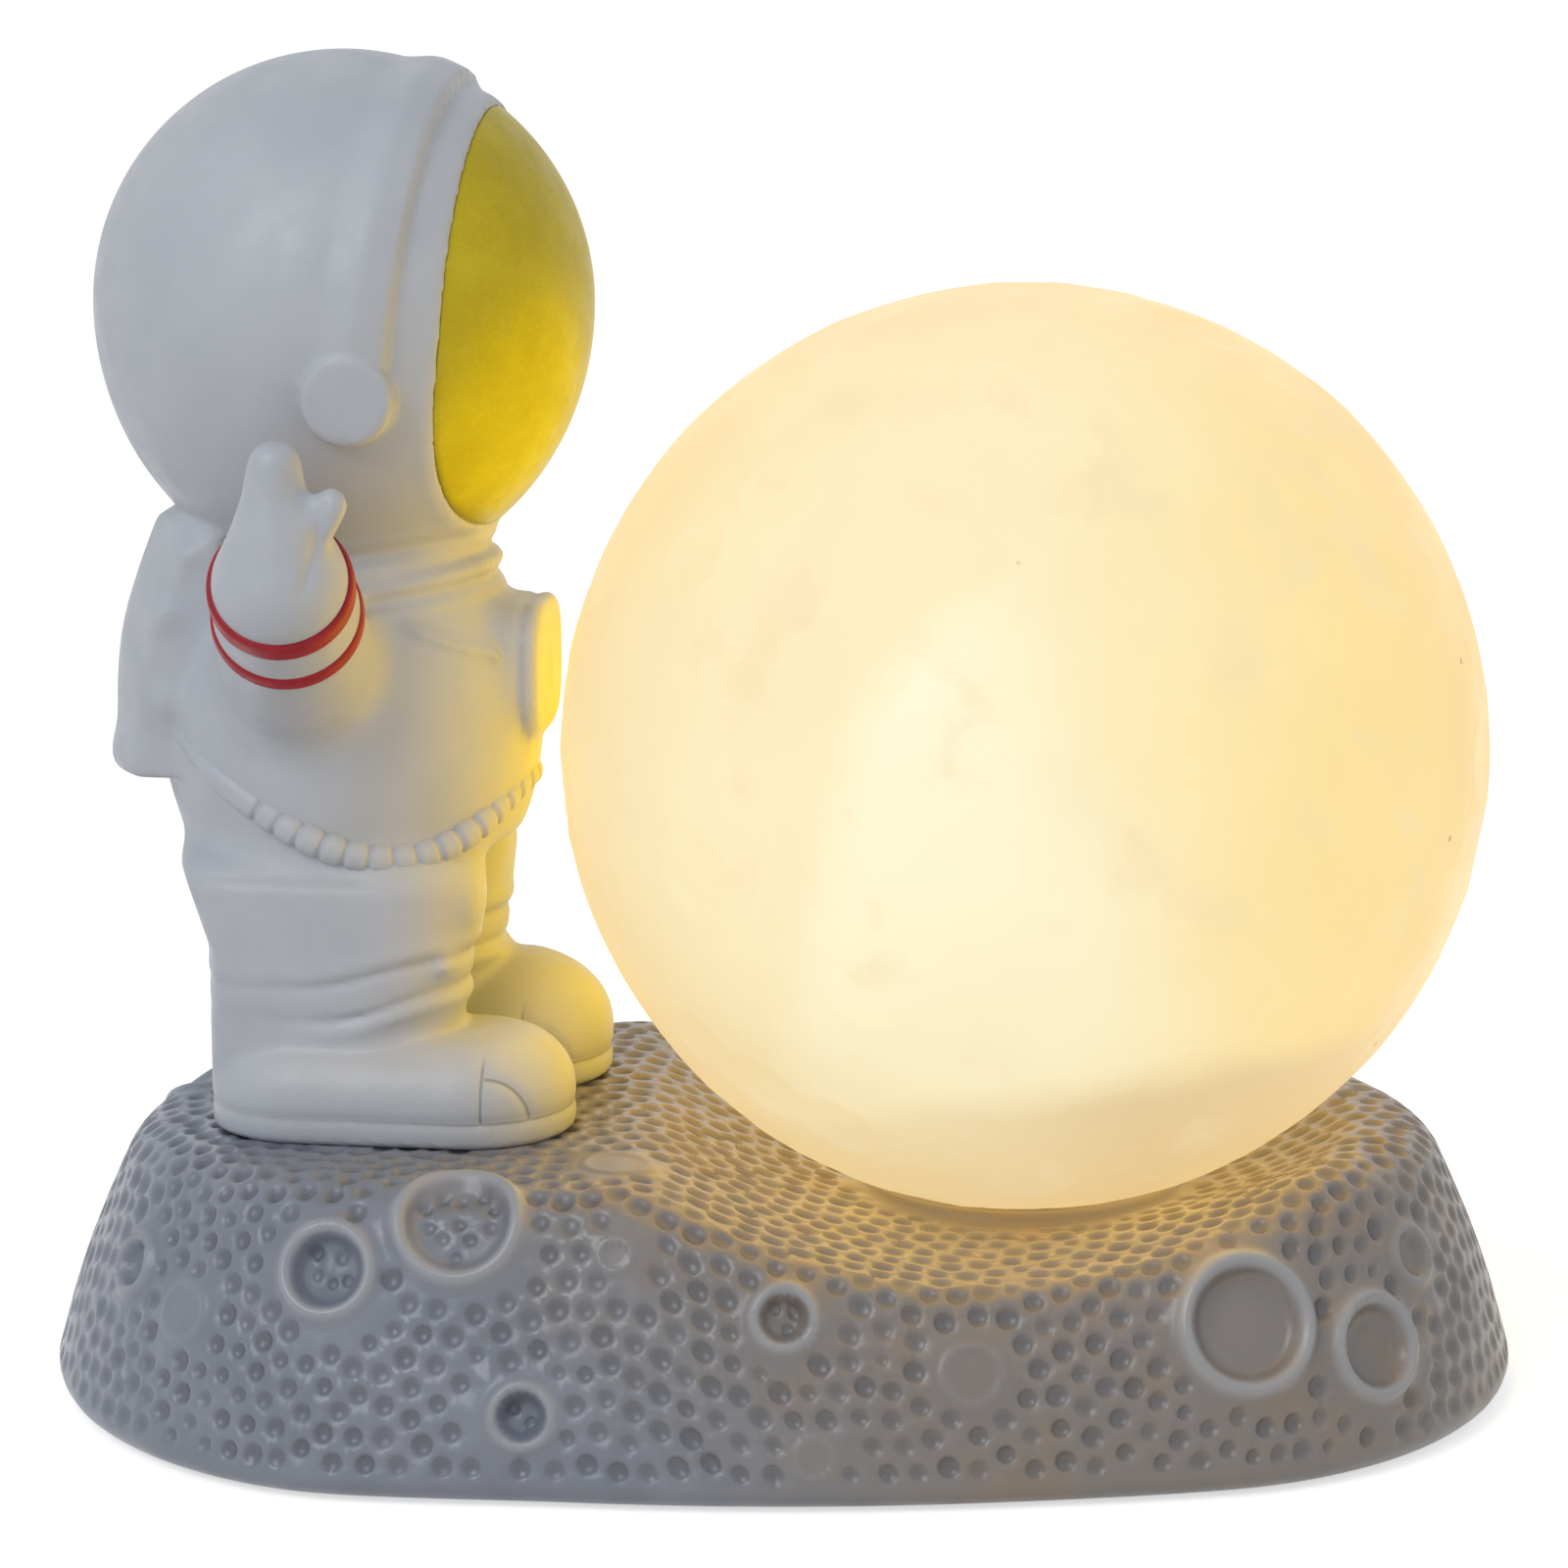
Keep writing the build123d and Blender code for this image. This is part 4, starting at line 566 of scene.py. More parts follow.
class Paints:
    """All finishes of the lamp, one material each."""

    FINISHES: tuple[Finish, ...] = (
        PittedFinish(
            Slot.BASE, (0.206, 0.226, 0.278), (0.173, 0.193, 0.24), 9.0, 0.6, 0.03, (0.3, 0.46), coat=0.15
        ),
        GrooveShadeFinish(
            Slot.SUIT, (0.45, 0.472, 0.52), (0.425, 0.447, 0.495), 9.0, 0.4, 0.03, (0.42, 0.58), coat=0.05
        ),
        FlakeFinish(
            Slot.VISOR, (0.435, 0.34, 0.012), (0.395, 0.305, 0.01), 6.0, 0.3, 0.02, (0.36, 0.46), 0.45,
            gloss=0.2,
        ),
        Finish(
            Slot.STRIPE, (0.34, 0.008, 0.02), (0.27, 0.006, 0.014), 3.0, 0.4, 0.03, (0.4, 0.55), gloss=0.3
        ),
        GlowFinish(
            Slot.GLOBE, (0.25, 0.22, 0.17), (0.22, 0.19, 0.145), 16.0, 1.2, 0.06, (0.45, 0.6), gloss=0.3
        ),
        Finish(Slot.COVER, (0.028, 0.028, 0.03), (0.018, 0.018, 0.02), 7.0, 0.5, 0.06, (0.5, 0.68)),
        Finish(Slot.STEEL, (0.62, 0.62, 0.63), (0.46, 0.46, 0.48), 1.5, 0.12, 0.01, (0.22, 0.4), 1.0),
        Finish(Slot.PAD, (0.05, 0.05, 0.052), (0.03, 0.03, 0.032), 3.0, 0.3, 0.05, (0.75, 0.9)),
        Finish(Slot.CELL, (0.06, 0.09, 0.16), (0.04, 0.06, 0.11), 8.0, 0.3, 0.01, (0.2, 0.32), coat=0.3),
        Finish(Slot.SWITCH, (0.035, 0.035, 0.037), (0.02, 0.02, 0.022), 2.0, 0.3, 0.03, (0.38, 0.55)),
        Finish(Slot.HOLDER, (0.72, 0.71, 0.68), (0.62, 0.61, 0.58), 6.0, 0.4, 0.02, (0.4, 0.55)),
        Finish(Slot.BOARD, (0.02, 0.17, 0.07), (0.015, 0.12, 0.05), 3.0, 0.2, 0.01, (0.3, 0.45), coat=0.2),
        Finish(Slot.LED, (0.85, 0.66, 0.14), (0.75, 0.55, 0.1), 1.0, 0.2, 0.01, (0.3, 0.4)),
        Finish(Slot.LEAD_RED, (0.45, 0.02, 0.02), (0.33, 0.015, 0.015), 4.0, 0.3, 0.01, (0.35, 0.5)),
        Finish(Slot.LEAD_BLACK, (0.03, 0.03, 0.03), (0.02, 0.02, 0.02), 4.0, 0.3, 0.01, (0.35, 0.5)),
    )

    def __init__(self) -> None:
        """Builds every material once."""
        self.made = {finish.slot: finish.material() for finish in self.FINISHES}

    def coat(self, item: bpy.types.Object, slot: Slot) -> None:
        """Puts one finish on an object."""
        item.data.materials.clear()
        item.data.materials.append(self.made[slot])


@dataclass
class Workshop:
    """Makes the lamp's pieces and tells the frame about them."""

    paints: Paints

    def piece(
        self,
        name: str,
        points: Array,
        faces: list,
        slot: Slot,
        nodes: tuple[str, ...],
        normals: Array | None = None,
        marks: dict[str, Array] | None = None,
    ) -> bpy.types.Object:
        """Makes one piece from points in millimetres.

        Args:
            name: Name of the piece.
            points: Its points.
            faces: Its faces, as lists of point numbers.
            slot: Its material slot.
            nodes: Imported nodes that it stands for.
            normals: Shading normals by point, if they are given.
            marks: Named numbers by point.

        Returns:
            The piece.
        """
        mesh = bpy.data.meshes.new(name)
        mesh.from_pydata((np.asarray(points, float) * MM).tolist(), [], faces)
        mesh.polygons.foreach_set("use_smooth", [True] * len(mesh.polygons))
        for label, values in (marks or {}).items():
            layer = mesh.attributes.new(label, "FLOAT", "POINT")
            layer.data.foreach_set("value", np.asarray(values, np.float32))
        mesh.update()
        if normals is not None:
            mesh.normals_split_custom_set_from_vertices(np.asarray(normals, float).tolist())
        return self.register(bpy.data.objects.new(name, mesh), slot, nodes)

    def register(self, item: bpy.types.Object, slot: Slot, nodes: tuple[str, ...]) -> bpy.types.Object:
        """Paints a piece, puts it in the scene and on its body.

        Args:
            item: The piece.
            slot: Its material slot.
            nodes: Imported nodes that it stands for.

        Returns:
            The piece.
        """
        if item.name not in bpy.context.scene.objects:
            bpy.context.scene.collection.objects.link(item)
        self.paints.coat(item, slot)
        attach(item, "lamp")
        if nodes:
            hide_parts(*nodes)
        LOG.info("%s: %d faces", item.name, len(item.data.polygons))
        return item

    def grow(
        self, name: str, tree: bpy.types.NodeTree, values: dict, source: bpy.types.Mesh
    ) -> bpy.types.Object:
        """Runs a geometry node tree on a mesh and keeps the result as a plain mesh.

        Args:
            name: Name of the result.
            tree: The node tree.
            values: Values by the name of the tree's inputs.
            source: The mesh that it starts from.

        Returns:
            An object with the grown mesh.
        """
        carrier = bpy.data.objects.new(f"{name}_source", source)
        bpy.context.scene.collection.objects.link(carrier)
        modifier = carrier.modifiers.new("grow", "NODES")
        modifier.node_group = tree
        for entry in tree.interface.items_tree:
            if entry.item_type == "SOCKET" and entry.in_out == "INPUT" and entry.name in values:
                modifier[entry.identifier] = values[entry.name]
        graph = bpy.context.evaluated_depsgraph_get()
        grown = bpy.data.meshes.new_from_object(carrier.evaluated_get(graph))
        carrier.modifiers.remove(modifier)
        bpy.data.objects.remove(carrier)
        grown.name = name
        return bpy.data.objects.new(name, grown)


def lathe(profile: list[tuple[float, float]], turns: int) -> tuple[Array, list]:
    """Turns a closed profile round the Z axis.

    Args:
        profile: Radius and height pairs. With both ends on the axis the ends close as poles, or else the
            profile closes on itself.
        turns: Points in each ring.

    Returns:
        Points and faces.
    """
    angles = full_turn(turns)
    points: list = []
    rings: list[list[int]] = []
    for radius, height in profile:
        start = len(points)
        if radius < 1e-6:
            points.append((0.0, 0.0, height))
            rings.append([start] * turns)
        else:
            points.extend((radius * math.cos(a), radius * math.sin(a), height) for a in angles)
            rings.append(list(range(start, start + turns)))
    closed = profile[0][0] > 1e-6
    pairs = list(zip(rings, rings[1:] + rings[:1])) if closed else list(zip(rings, rings[1:]))
    faces = []
    for upper, lower in pairs:
        for i in range(turns):
            j = (i + 1) % turns
            corners = [upper[i], lower[i], lower[j], upper[j]]
            faces.append([c for k, c in enumerate(corners) if c not in corners[:k]])
    return np.array(points), faces


def aimed(points: Array, origin: Array, aim: Array) -> Array:
    """Turns points from the Z axis to another axis and moves them.

    Args:
        points: Points about the Z axis.
        origin: Where their zero goes.
        aim: Where their Z axis points.

    Returns:
        The moved points.
    """
    turn = np.array(Vector(aim).to_track_quat("Z", "Y").to_matrix())
    return points @ turn.T + origin


def blurred(values: Array, sigma: float) -> Array:
    """Softens a grid of values.

    Args:
        values: The grid.
        sigma: Spread in grid steps.

    Returns:
        The softened grid.
    """
    reach = int(3.0 * sigma) + 1
    weights = np.exp(-0.5 * np.square(np.arange(-reach, reach + 1) / sigma))
    weights /= weights.sum()
    for axis in range(3):
        margin = [(reach, reach) if k == axis else (0, 0) for k in range(3)]
        padded = np.pad(values, margin, mode="edge")
        values = np.zeros_like(values)
        for k, weight in enumerate(weights):
            cut = [slice(None)] * 3
            cut[axis] = slice(k, k + values.shape[axis])
            values += np.float32(weight) * padded[tuple(cut)]
    return values


def soft_min(first: Array, second: Array, reach: float) -> Array:
    """Least of two distance grids, with a fillet where they meet.

    Args:
        first: One grid.
        second: The other grid.
        reach: Size of the fillet.

    Returns:
        The joined grid.
    """
    share = np.clip(0.5 + 0.5 * (second - first) / np.float32(reach), 0.0, 1.0)
    return second * (1.0 - share) + first * share - np.float32(reach) * share * (1.0 - share)


class Cast:
    """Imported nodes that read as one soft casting, held as a grid of distances in millimetres."""

    BAND = 14.0
    SCRAP = 90
    RAISED = {"torso": ("harness_strap",)}

    def __init__(self, low: Triple, high: Triple, voxel: float) -> None:
        """Starts an empty grid.

        Args:
            low: Lowest corner.
            high: Highest corner.
            voxel: Step of the grid.
        """
        self.names: list[str] = []
        self.voxel = voxel
        self.low = np.floor(np.array(low) / voxel).astype(int)
        self.shape = tuple(np.ceil(np.array(high) / voxel).astype(int) - self.low + 1)
        self.frame = vdb.createLinearTransform(voxel)
        self.value = np.full(self.shape, self.BAND * voxel, np.float32)
        self.label = np.zeros(self.shape, np.int8)
        axes = [((self.low[k] + np.arange(self.shape[k])) * voxel).astype(np.float32) for k in range(3)]
        self.x = axes[0][:, None, None]
        self.y = axes[1][None, :, None]
        self.z = axes[2][None, None, :]

    def start(self) -> tuple[int, int, int]:
        """Grid place of the first value."""
        return tuple(int(value) for value in self.low)

    def distances(self, name: str) -> Array:
        """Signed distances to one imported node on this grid."""
        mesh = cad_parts[name].data
        points = np.empty(len(mesh.vertices) * 3, np.float32)
        mesh.vertices.foreach_get("co", points)
        mesh.calc_loop_triangles()
        corners = np.empty(len(mesh.loop_triangles) * 3, np.int32)
        mesh.loop_triangles.foreach_get("vertices", corners)
        grid = vdb.FloatGrid.createLevelSetFromPolygons(
            points.reshape(-1, 3) / np.float32(MM),
            triangles=corners.reshape(-1, 3).astype(np.uint32),
            transform=self.frame,
            halfWidth=self.BAND,
        )
        found = np.zeros(self.shape, np.float32)
        grid.copyToArray(found, ijk=self.start())
        return found

    def add(self, name: str, reach: float, shape: Array | None = None) -> None:
        """Joins one node to the casting.

        Args:
            name: The node.
            reach: Size of the fillet where it meets the rest.
            shape: Its distances, if they aren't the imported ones.
        """
        near = self.distances(name) if shape is None else shape.astype(np.float32)
        self.label[near < self.value] = len(self.names)
        self.names.append(name)
        self.value = soft_min(self.value, near, reach)

    def soften(self, size: float) -> None:
        """Softens all corners by about this much."""
        self.value = blurred(self.value, size / self.voxel)

    def carve(self, depth: Array) -> None:
        """Takes this much off the surface, or adds where it is below zero."""
        self.value += depth.astype(np.float32)

    def surface(self) -> tuple[Array, Array, Array]:
        """Meshes the casting.

        Returns:
            Points, normals by point and four-sided faces.
        """
        grid = vdb.FloatGrid()
        grid.background = float(self.value.max())
        grid.transform = self.frame
        grid.gridClass = vdb.GridClass.LEVEL_SET
        grid.copyFromArray(self.value, ijk=self.start(), tolerance=0.0)
        points, quads = grid.convertToQuads(0.0)
        quads = quads[:, ::-1].astype(np.int64)
        corners = [points[quads[:, k]] for k in range(4)]
        facing = np.cross(corners[2] - corners[0], corners[3] - corners[1])
        normals = np.zeros(points.shape, float)
        for k in range(4):
            np.add.at(normals, quads[:, k], facing)
        normals /= np.maximum(np.linalg.norm(normals, axis=1, keepdims=True), 1e-12)
        return points, normals, quads

    def owners(self, points: Array) -> Array:
        """Number of the node that each point belongs to."""
        place = np.clip(np.rint(points / self.voxel).astype(int) - self.low, 0, np.array(self.shape) - 1)
        return self.label[place[:, 0], place[:, 1], place[:, 2]]

    def parted(self, points: Array, quads: Array) -> Array:
        """Number of the node that each face belongs to, with ragged seams evened out.

        Args:
            points: Points of the casting.
            quads: Its faces.

        Returns:
            A number for each face.
        """
        kinds = len(self.names)
        label = self.owners(points).astype(np.int64)
        edges = np.concatenate([quads[:, [k, (k + 1) % 4]] for k in range(4)])
        ends = np.concatenate([edges, edges[:, ::-1]])
        own = np.arange(len(points)) * kinds
        for _ in range(14):
            votes = np.bincount(ends[:, 0] * kinds + label[ends[:, 1]], minlength=len(points) * kinds)
            votes += 2 * np.bincount(own + label, minlength=len(points) * kinds)
            label = votes.reshape(-1, kinds).argmax(axis=1)
        rows = np.repeat(np.arange(len(quads)) * kinds, 4)
        votes = np.bincount(rows + label[quads].ravel(), minlength=len(quads) * kinds)
        return self.tidied(quads, votes.reshape(-1, kinds).argmax(axis=1))

    def tidied(self, quads: Array, owner: Array) -> Array:
        """Gives stray scraps of one node to the node round them.

        Args:
            quads: Faces of the casting.
            owner: Number of the node for each face.

        Returns:
            The numbers without scraps.
        """
        count = int(quads.max()) + 1
        ends = np.sort(np.concatenate([quads[:, [k, (k + 1) % 4]] for k in range(4)]), axis=1)
        faces = np.tile(np.arange(len(quads)), 4)
        order = np.argsort(ends[:, 0] * count + ends[:, 1], kind="stable")
        beside: list[list[int]] = [[] for _ in range(len(quads))]
        for first, second in faces[order].reshape(-1, 2).tolist():
            beside[first].append(second)
            beside[second].append(first)
        kind = owner.tolist()
        seen = [False] * len(kind)
        for start in range(len(kind)):
            if seen[start]:
                continue
            seen[start] = True
            scrap, around = [start], []
            for face in scrap:
                for other in beside[face]:
                    if kind[other] != kind[start]:
                        around.append(kind[other])
                    elif not seen[other]:
                        seen[other] = True
                        scrap.append(other)
            if len(scrap) < self.SCRAP and around:
                for face in scrap:
                    kind[face] = max(set(around), key=around.count)
        return np.array(kind)

    def pieces(self, shop: Workshop, slot: Slot) -> None:
        """Parts the casting along its seams into closed pieces, one for each node.

        Args:
            shop: Makes the pieces.
            slot: Their material slot.
        """
        points, normals, quads = self.surface()
        owner = self.parted(points, quads)
        for index, name in enumerate(self.names):
            mine = quads[owner == index]
            used, corners = np.unique(mine, return_inverse=True)
            faces = corners.reshape(-1, 4)
            made, shading = list(points[used]), list(normals[used])
            sides = faces.tolist()
            for loop in seams(faces):
                sides += [[after, before, len(made)] for before, after in zip(loop, loop[1:] + loop[:1])]
                made.append(np.mean(points[used][loop], axis=0))
                shading.append(-np.mean(normals[used][loop], axis=0))
            nodes = (name, *self.RAISED.get(name, ()))
            shop.piece(f"{name}_cast", np.array(made), sides, slot, nodes, np.array(shading))


def seams(faces: Array) -> list[list[int]]:
    """Finds the open edges of a mesh.

    Args:
        faces: Four-sided faces.

    Returns:
        Loops of points, in the direction of the faces beside them.
    """
    edges = np.concatenate([faces[:, [k, (k + 1) % 4]] for k in range(4)])
    count = int(faces.max()) + 1
    open_ones = edges[~np.isin(edges[:, 0] * count + edges[:, 1], edges[:, 1] * count + edges[:, 0])]
    follow: dict[int, list[int]] = {}
    for before, after in open_ones.tolist():
        follow.setdefault(before, []).append(after)
    loops = []
    while follow:
        loop = [next(iter(follow))]
        while True:
            ends = follow[loop[-1]]
            step = ends.pop()
            if not ends:
                del follow[loop[-1]]
            if step == loop[0]:
                break
            loop.append(step)
        loops.append(loop)
    return loops


@dataclass
class SpaceSuit:
    """Body, limbs, packs and boots of the figure."""

    stance: Stance
    thigh_z: float = 54.4
    fold_z: float = 43.9
    ridge_z: float = 40.4
    sole_z: float = 31.2
    cap_forward: float = 16.9
    arc_radius: float = 4.4
    pack_line: float = 18.6
    pack_middle: float = -6.9
    pack_round: float = 17.2
    pack_low: float = 63.5
    pack_front: float = 20.5
    chest_z: float = 74.2

    JOINS = (
        ("torso", 0.1),
        ("neck_ring", 1.0),
        ("right_sleeve", 2.8),
        ("left_sleeve", 2.5),
        ("right_hand", 3.0),
        ("left_hand", 1.5),
    )
    LOW_JOINS = (("right_leg", 3.6), ("left_leg", 3.6), ("right_boot", 1.2), ("left_boot", 1.2))
    # Middle and half size of the far boot's fuller toe, forward, leftward and up
    TOE = ((15.6, 8.4), (10.2, 8.0), (35.2, 6.4))
    # Small raised patches: x, z, half width, half height and lift
    PATCHES = (
        (-30.7, 51.0, 1.7, 3.2, 0.8),
        (-33.6, 45.8, 1.2, 1.2, 0.8),
        (-60.1, 86.5, 1.8, 1.6, 0.7),
        (-62.1, 80.0, 2.2, 1.8, 0.7),
        (-62.1, 71.5, 2.2, 2.0, 0.8),
    )

    def add_to(self, cast: Cast) -> None:
        """Joins the suit's parts to the casting."""
        forward, left = self.stance.local(cast.x, cast.y)
        z = cast.z
        for name, reach in self.JOINS:
            cast.add(name, reach)
        behind = -forward - 12.7 - 0.33 * np.maximum(z - 47.0, 0.0) + 0.03 * np.square(np.abs(left) - 9.4)
        places = zip((forward, left, z), self.TOE)
        toe = sum(np.square((place - middle) / half) for place, (middle, half) in places)
        toe = (np.sqrt(toe) - 1.0) * 6.5
        for name, reach in self.LOW_JOINS:
            near = np.maximum(cast.distances(name), behind)
            cast.add(name, reach, soft_min(near, toe, 2.0) if name == "left_boot" else near)
        low = (z > 29.0) & (z < 57.5)
        cast.value = np.where(low, np.maximum(cast.value, behind), cast.value).astype(np.float32)
        girth = self.pack_round - 0.012 * np.square(np.maximum(z - 70.0, 0.0)) + 0.7 * hump(z - 64.8, 2.4)
        pack = np.maximum(cast.distances("backpack"), np.hypot(forward - self.pack_middle, left) - girth)
        cast.add("backpack", 0.8, np.maximum(pack, self.pack_low - z))
        oval = np.cbrt(np.abs(left / 9.3) ** 3 + np.abs((z - self.chest_z) / 9.2) ** 3)
        front = np.maximum((oval - 1.0) * 7.0, forward - self.pack_front)
        cast.add("chest_pack", 1.8, np.maximum(cast.distances("chest_pack"), front))

    def sculpt(self, cast: Cast) -> None:
        """Works the folds and small shapes into the casting."""
        forward, left = self.stance.local(cast.x, cast.y)
        self.legs(cast, forward)
        self.boots(cast, forward)
        self.packs(cast, forward, left)
        self.neck(cast, forward, left)
        self.hand(cast)

    def legs(self, cast: Cast, forward: Array) -> None:
        """Folds the cloth at the thigh and above the boots."""
        z = cast.z
        reach = ease(forward, -16.0, -10.0) * (1.0 - ease(forward, 2.0, 9.0))
        cast.carve(0.26 * hump(z - self.thigh_z, 0.34) * reach)
        front = 0.35 + 0.65 * ease(forward, -10.0, 6.0)
        fold = self.fold_z + 2.6 * ease(forward, -2.0, 12.0)
        cast.carve((0.35 * hump(z - fold, 0.5) - 0.22 * hump(z - fold - 1.4, 0.9)) * front)
        ridge = self.ridge_z + 3.0 * ease(forward, 0.0, 13.0)
        raised = 0.3 * hump(z - ridge, 0.5) - 0.3 * hump(z - ridge + 1.3, 0.9)
        cast.carve(raised * ease(forward, -8.0, 6.0))

    def boots(self, cast: Cast, forward: Array) -> None:
        """Cuts the sole line and the toe cap lines of the boots."""
        z = cast.z
        cast.carve(0.2 * hump(z - self.sole_z, 0.4))
        low = ease(z, 30.4, 31.2) * (1.0 - ease(z, 36.0, 38.0))
        cast.carve(0.2 * hump(forward - self.cap_forward, 0.35) * low)
        along = np.sqrt(np.square(forward - self.cap_forward) + np.square(z - self.sole_z))
        arc = hump(along - self.arc_radius, 0.35) * ease(forward, self.cap_forward, self.cap_forward + 1.0)
        cast.carve(0.2 * arc * (z > self.sole_z) * (z < 38.0))

    def packs(self, cast: Cast, forward: Array, left: Array) -> None:
        """Adds pocket, knob, pack patches, the strap's ridge and the line round the chest pack."""
        x, z = cast.x, cast.z
        near = 1.0 - ease(left, -4.0, -1.0)
        for px, pz, wide, tall, lift in self.PATCHES:
            cast.carve(-lift * np.exp(-np.square((x - px) / wide) - np.square((z - pz) / tall)) * near)
        mid = (np.abs(left) < 10.0) * ease(z, 65.0, 67.0) * (1.0 - ease(z, 81.0, 83.0))
        cast.carve(0.3 * hump(forward - self.pack_line, 0.45) * mid)
        drop = z - (81.6 - 5.6 * np.clip((forward - 5.1) / 12.6, 0.0, 1.0))
        length = ease(forward, 7.5, 10.5) * (1.0 - ease(forward, 16.8, 18.4)) * ease(np.abs(left), 1.0, 3.0)
        ridge = hump(drop, 0.7) * length * (cast.label == cast.names.index("torso"))
        cast.carve(-0.75 * ridge)

    def neck(self, cast: Cast, forward: Array, left: Array) -> None:
        """Lays soft slanting folds round the neck."""
        z = cast.z
        round_neck = 1.0 - ease(np.hypot(forward, left), 17.0, 19.0)
        wave = np.sin(2.0 * np.pi * (z - 0.14 * forward - 82.0) / 2.5)
        band = ease(z, 80.0, 82.5) * (1.0 - ease(z, 88.0, 91.0))
        cast.carve(-0.17 * wave * band * round_neck * ease(forward, -12.0, -6.0))

    def hand(self, cast: Cast) -> None:
        """Slims the raised mitten and presses the folds of its palm."""
        x, y, z = cast.x, cast.y, cast.z
        mine = (cast.label == cast.names.index("right_hand")) * (y < -20.0)
        cast.carve(0.5 * ease(z, 92.0, 97.0) * mine + 0.6 * ease(z, 99.0, 103.0) * mine)
        fold = x - (-44.6 + 0.24 * (z - 90.0))
        cast.carve(0.4 * hump(fold, 0.5) * ease(z, 86.5, 88.5) * (1.0 - ease(z, 95.0, 97.0)) * (y < -20.0))
        dent = np.square((x + 46.2) / 1.6) + np.square((z - 96.5) / 2.6)
        cast.carve(0.45 * np.exp(-dent) * mine)


@dataclass
class Helmet:
    """Helmet ball with its hood, ear discs and gold visor."""

    stance: Stance
    hood_pitch: float = math.radians(-7.0)
    hood_front: float = 9.4
    hood_back: float = 2.6
    hood_rise: float = 1.1
    visor_pitch: float = math.radians(-4.0)
    visor_half: float = math.radians(56.2)
    visor_loss: float = math.radians(8.5)
    visor_gain: float = math.radians(2.0)
    visor_sink: float = 0.2
    chin: float = 0.905
    visor_depth: float = 2.2
    ear_forward: float = 5.5
    ear_radius: float = 4.5
    ear_rise: float = 2.0
    ear_round: float = 0.75
    turns: int = 160

    def offsets(self, cast: Cast) -> tuple[Array, Array, Array, Array]:
        """Places from the middle of the ball, drawn in below it, and the distance from there."""
        head = self.stance.head()
        dx, dy, dz = cast.x - head[0], cast.y - head[1], cast.z - head[2]
        dz = np.where(dz < 0.0, dz * np.float32(self.chin), dz)
        return dx, dy, dz, np.sqrt(dx * dx + dy * dy + dz * dz)

    def add_to(self, cast: Cast) -> None:
        """Joins the helmet ball to the casting."""
        far = self.offsets(cast)[3]
        cast.add("helmet", 1.2, np.clip(far - self.stance.head_radius, -5.0, 5.0))

    def ears(self, cast: Cast) -> None:
        """Joins the ear discs to the casting."""
        size = self.stance.head_radius
        forward, left = self.stance.local(cast.x, cast.y)
        disc = np.hypot(forward - self.ear_forward, cast.z - self.stance.head_z + self.stance.ear_drop)
        side = math.sqrt(size**2 - self.ear_forward**2 - self.stance.ear_drop**2)
        for name, sign in (("ear_disc_right", -1.0), ("ear_disc_left", 1.0)):
            over = sign * left - side - self.ear_rise + self.ear_round
            out = disc - self.ear_radius + self.ear_round
            rounded = np.hypot(np.maximum(out, 0.0), np.maximum(over, 0.0)) - self.ear_round
            shape = rounded + np.minimum(np.maximum(out, over), 0.0)
            cast.add(name, 0.3, np.maximum(shape, 16.0 - sign * left))

    def visor_aim(self) -> Array:
        """Direction that the visor faces."""
        return self.stance.heading(math.cos(self.visor_pitch), 0.0, math.sin(self.visor_pitch))

    def sculpt(self, cast: Cast) -> None:
        """Adds the hood and the ear discs and sinks the pocket of the visor."""
        dx, dy, dz, far = self.offsets(cast)
        aim = self.stance.heading(math.cos(self.hood_pitch), 0.0, math.sin(self.hood_pitch))
        along = dx * aim[0] + dy * aim[1] + dz * aim[2]
        swell = ease(along, self.hood_back, self.hood_front - 2.4)
        swell = swell * (1.0 - ease(along, self.hood_front - 0.2, self.hood_front + 0.5))
        above = ease(dz, -self.stance.ear_drop - 1.0, -self.stance.ear_drop + 1.5)
        rise = self.hood_rise * swell * above
        hood = far - self.stance.head_radius - rise
        cast.label[(hood < cast.value) & (rise > 0.15)] = len(cast.names)
        cast.names.append("hood_band")
        cast.value = np.where(rise > 0.02, np.minimum(cast.value, hood), cast.value).astype(np.float32)
        crease = hump(along - self.hood_front - 0.5, 0.5) * above
        cast.carve(0.08 * crease * (np.abs(far - self.stance.head_radius) < 3.0))
        self.ears(cast)
        aim = self.visor_aim()
        facing = (dx * aim[0] + dy * aim[1] + dz * aim[2]) / np.maximum(far, 1.0)
        turned = np.arccos(np.clip(facing, -1.0, 1.0))
        over = (dz / np.maximum(far, 1.0) - facing * aim[2]) / math.cos(self.visor_pitch)
        down = np.clip(-over / np.maximum(np.sin(turned), 0.05), 0.0, 1.0)
        edge = self.stance.head_radius * (turned - self.half(down))
        skin = np.abs(far - self.stance.head_radius) < 3.0
        cast.carve(-0.15 * hump(edge - 1.1, 0.9) * skin)
        shell = np.abs(far - self.stance.head_radius - 0.5) - 0.5 - self.visor_depth
        pocket = np.maximum(edge, shell)
        cast.value = np.maximum(cast.value, -pocket).astype(np.float32)

    def half(self, down: Array) -> Array:
        """Half angle of the visor, wider low on its sides and less at its flat chin."""
        corner = 2.0 * down * np.sqrt(np.maximum(1.0 - down * down, 0.0))
        return self.visor_half + self.visor_gain * corner - self.visor_loss * down**4

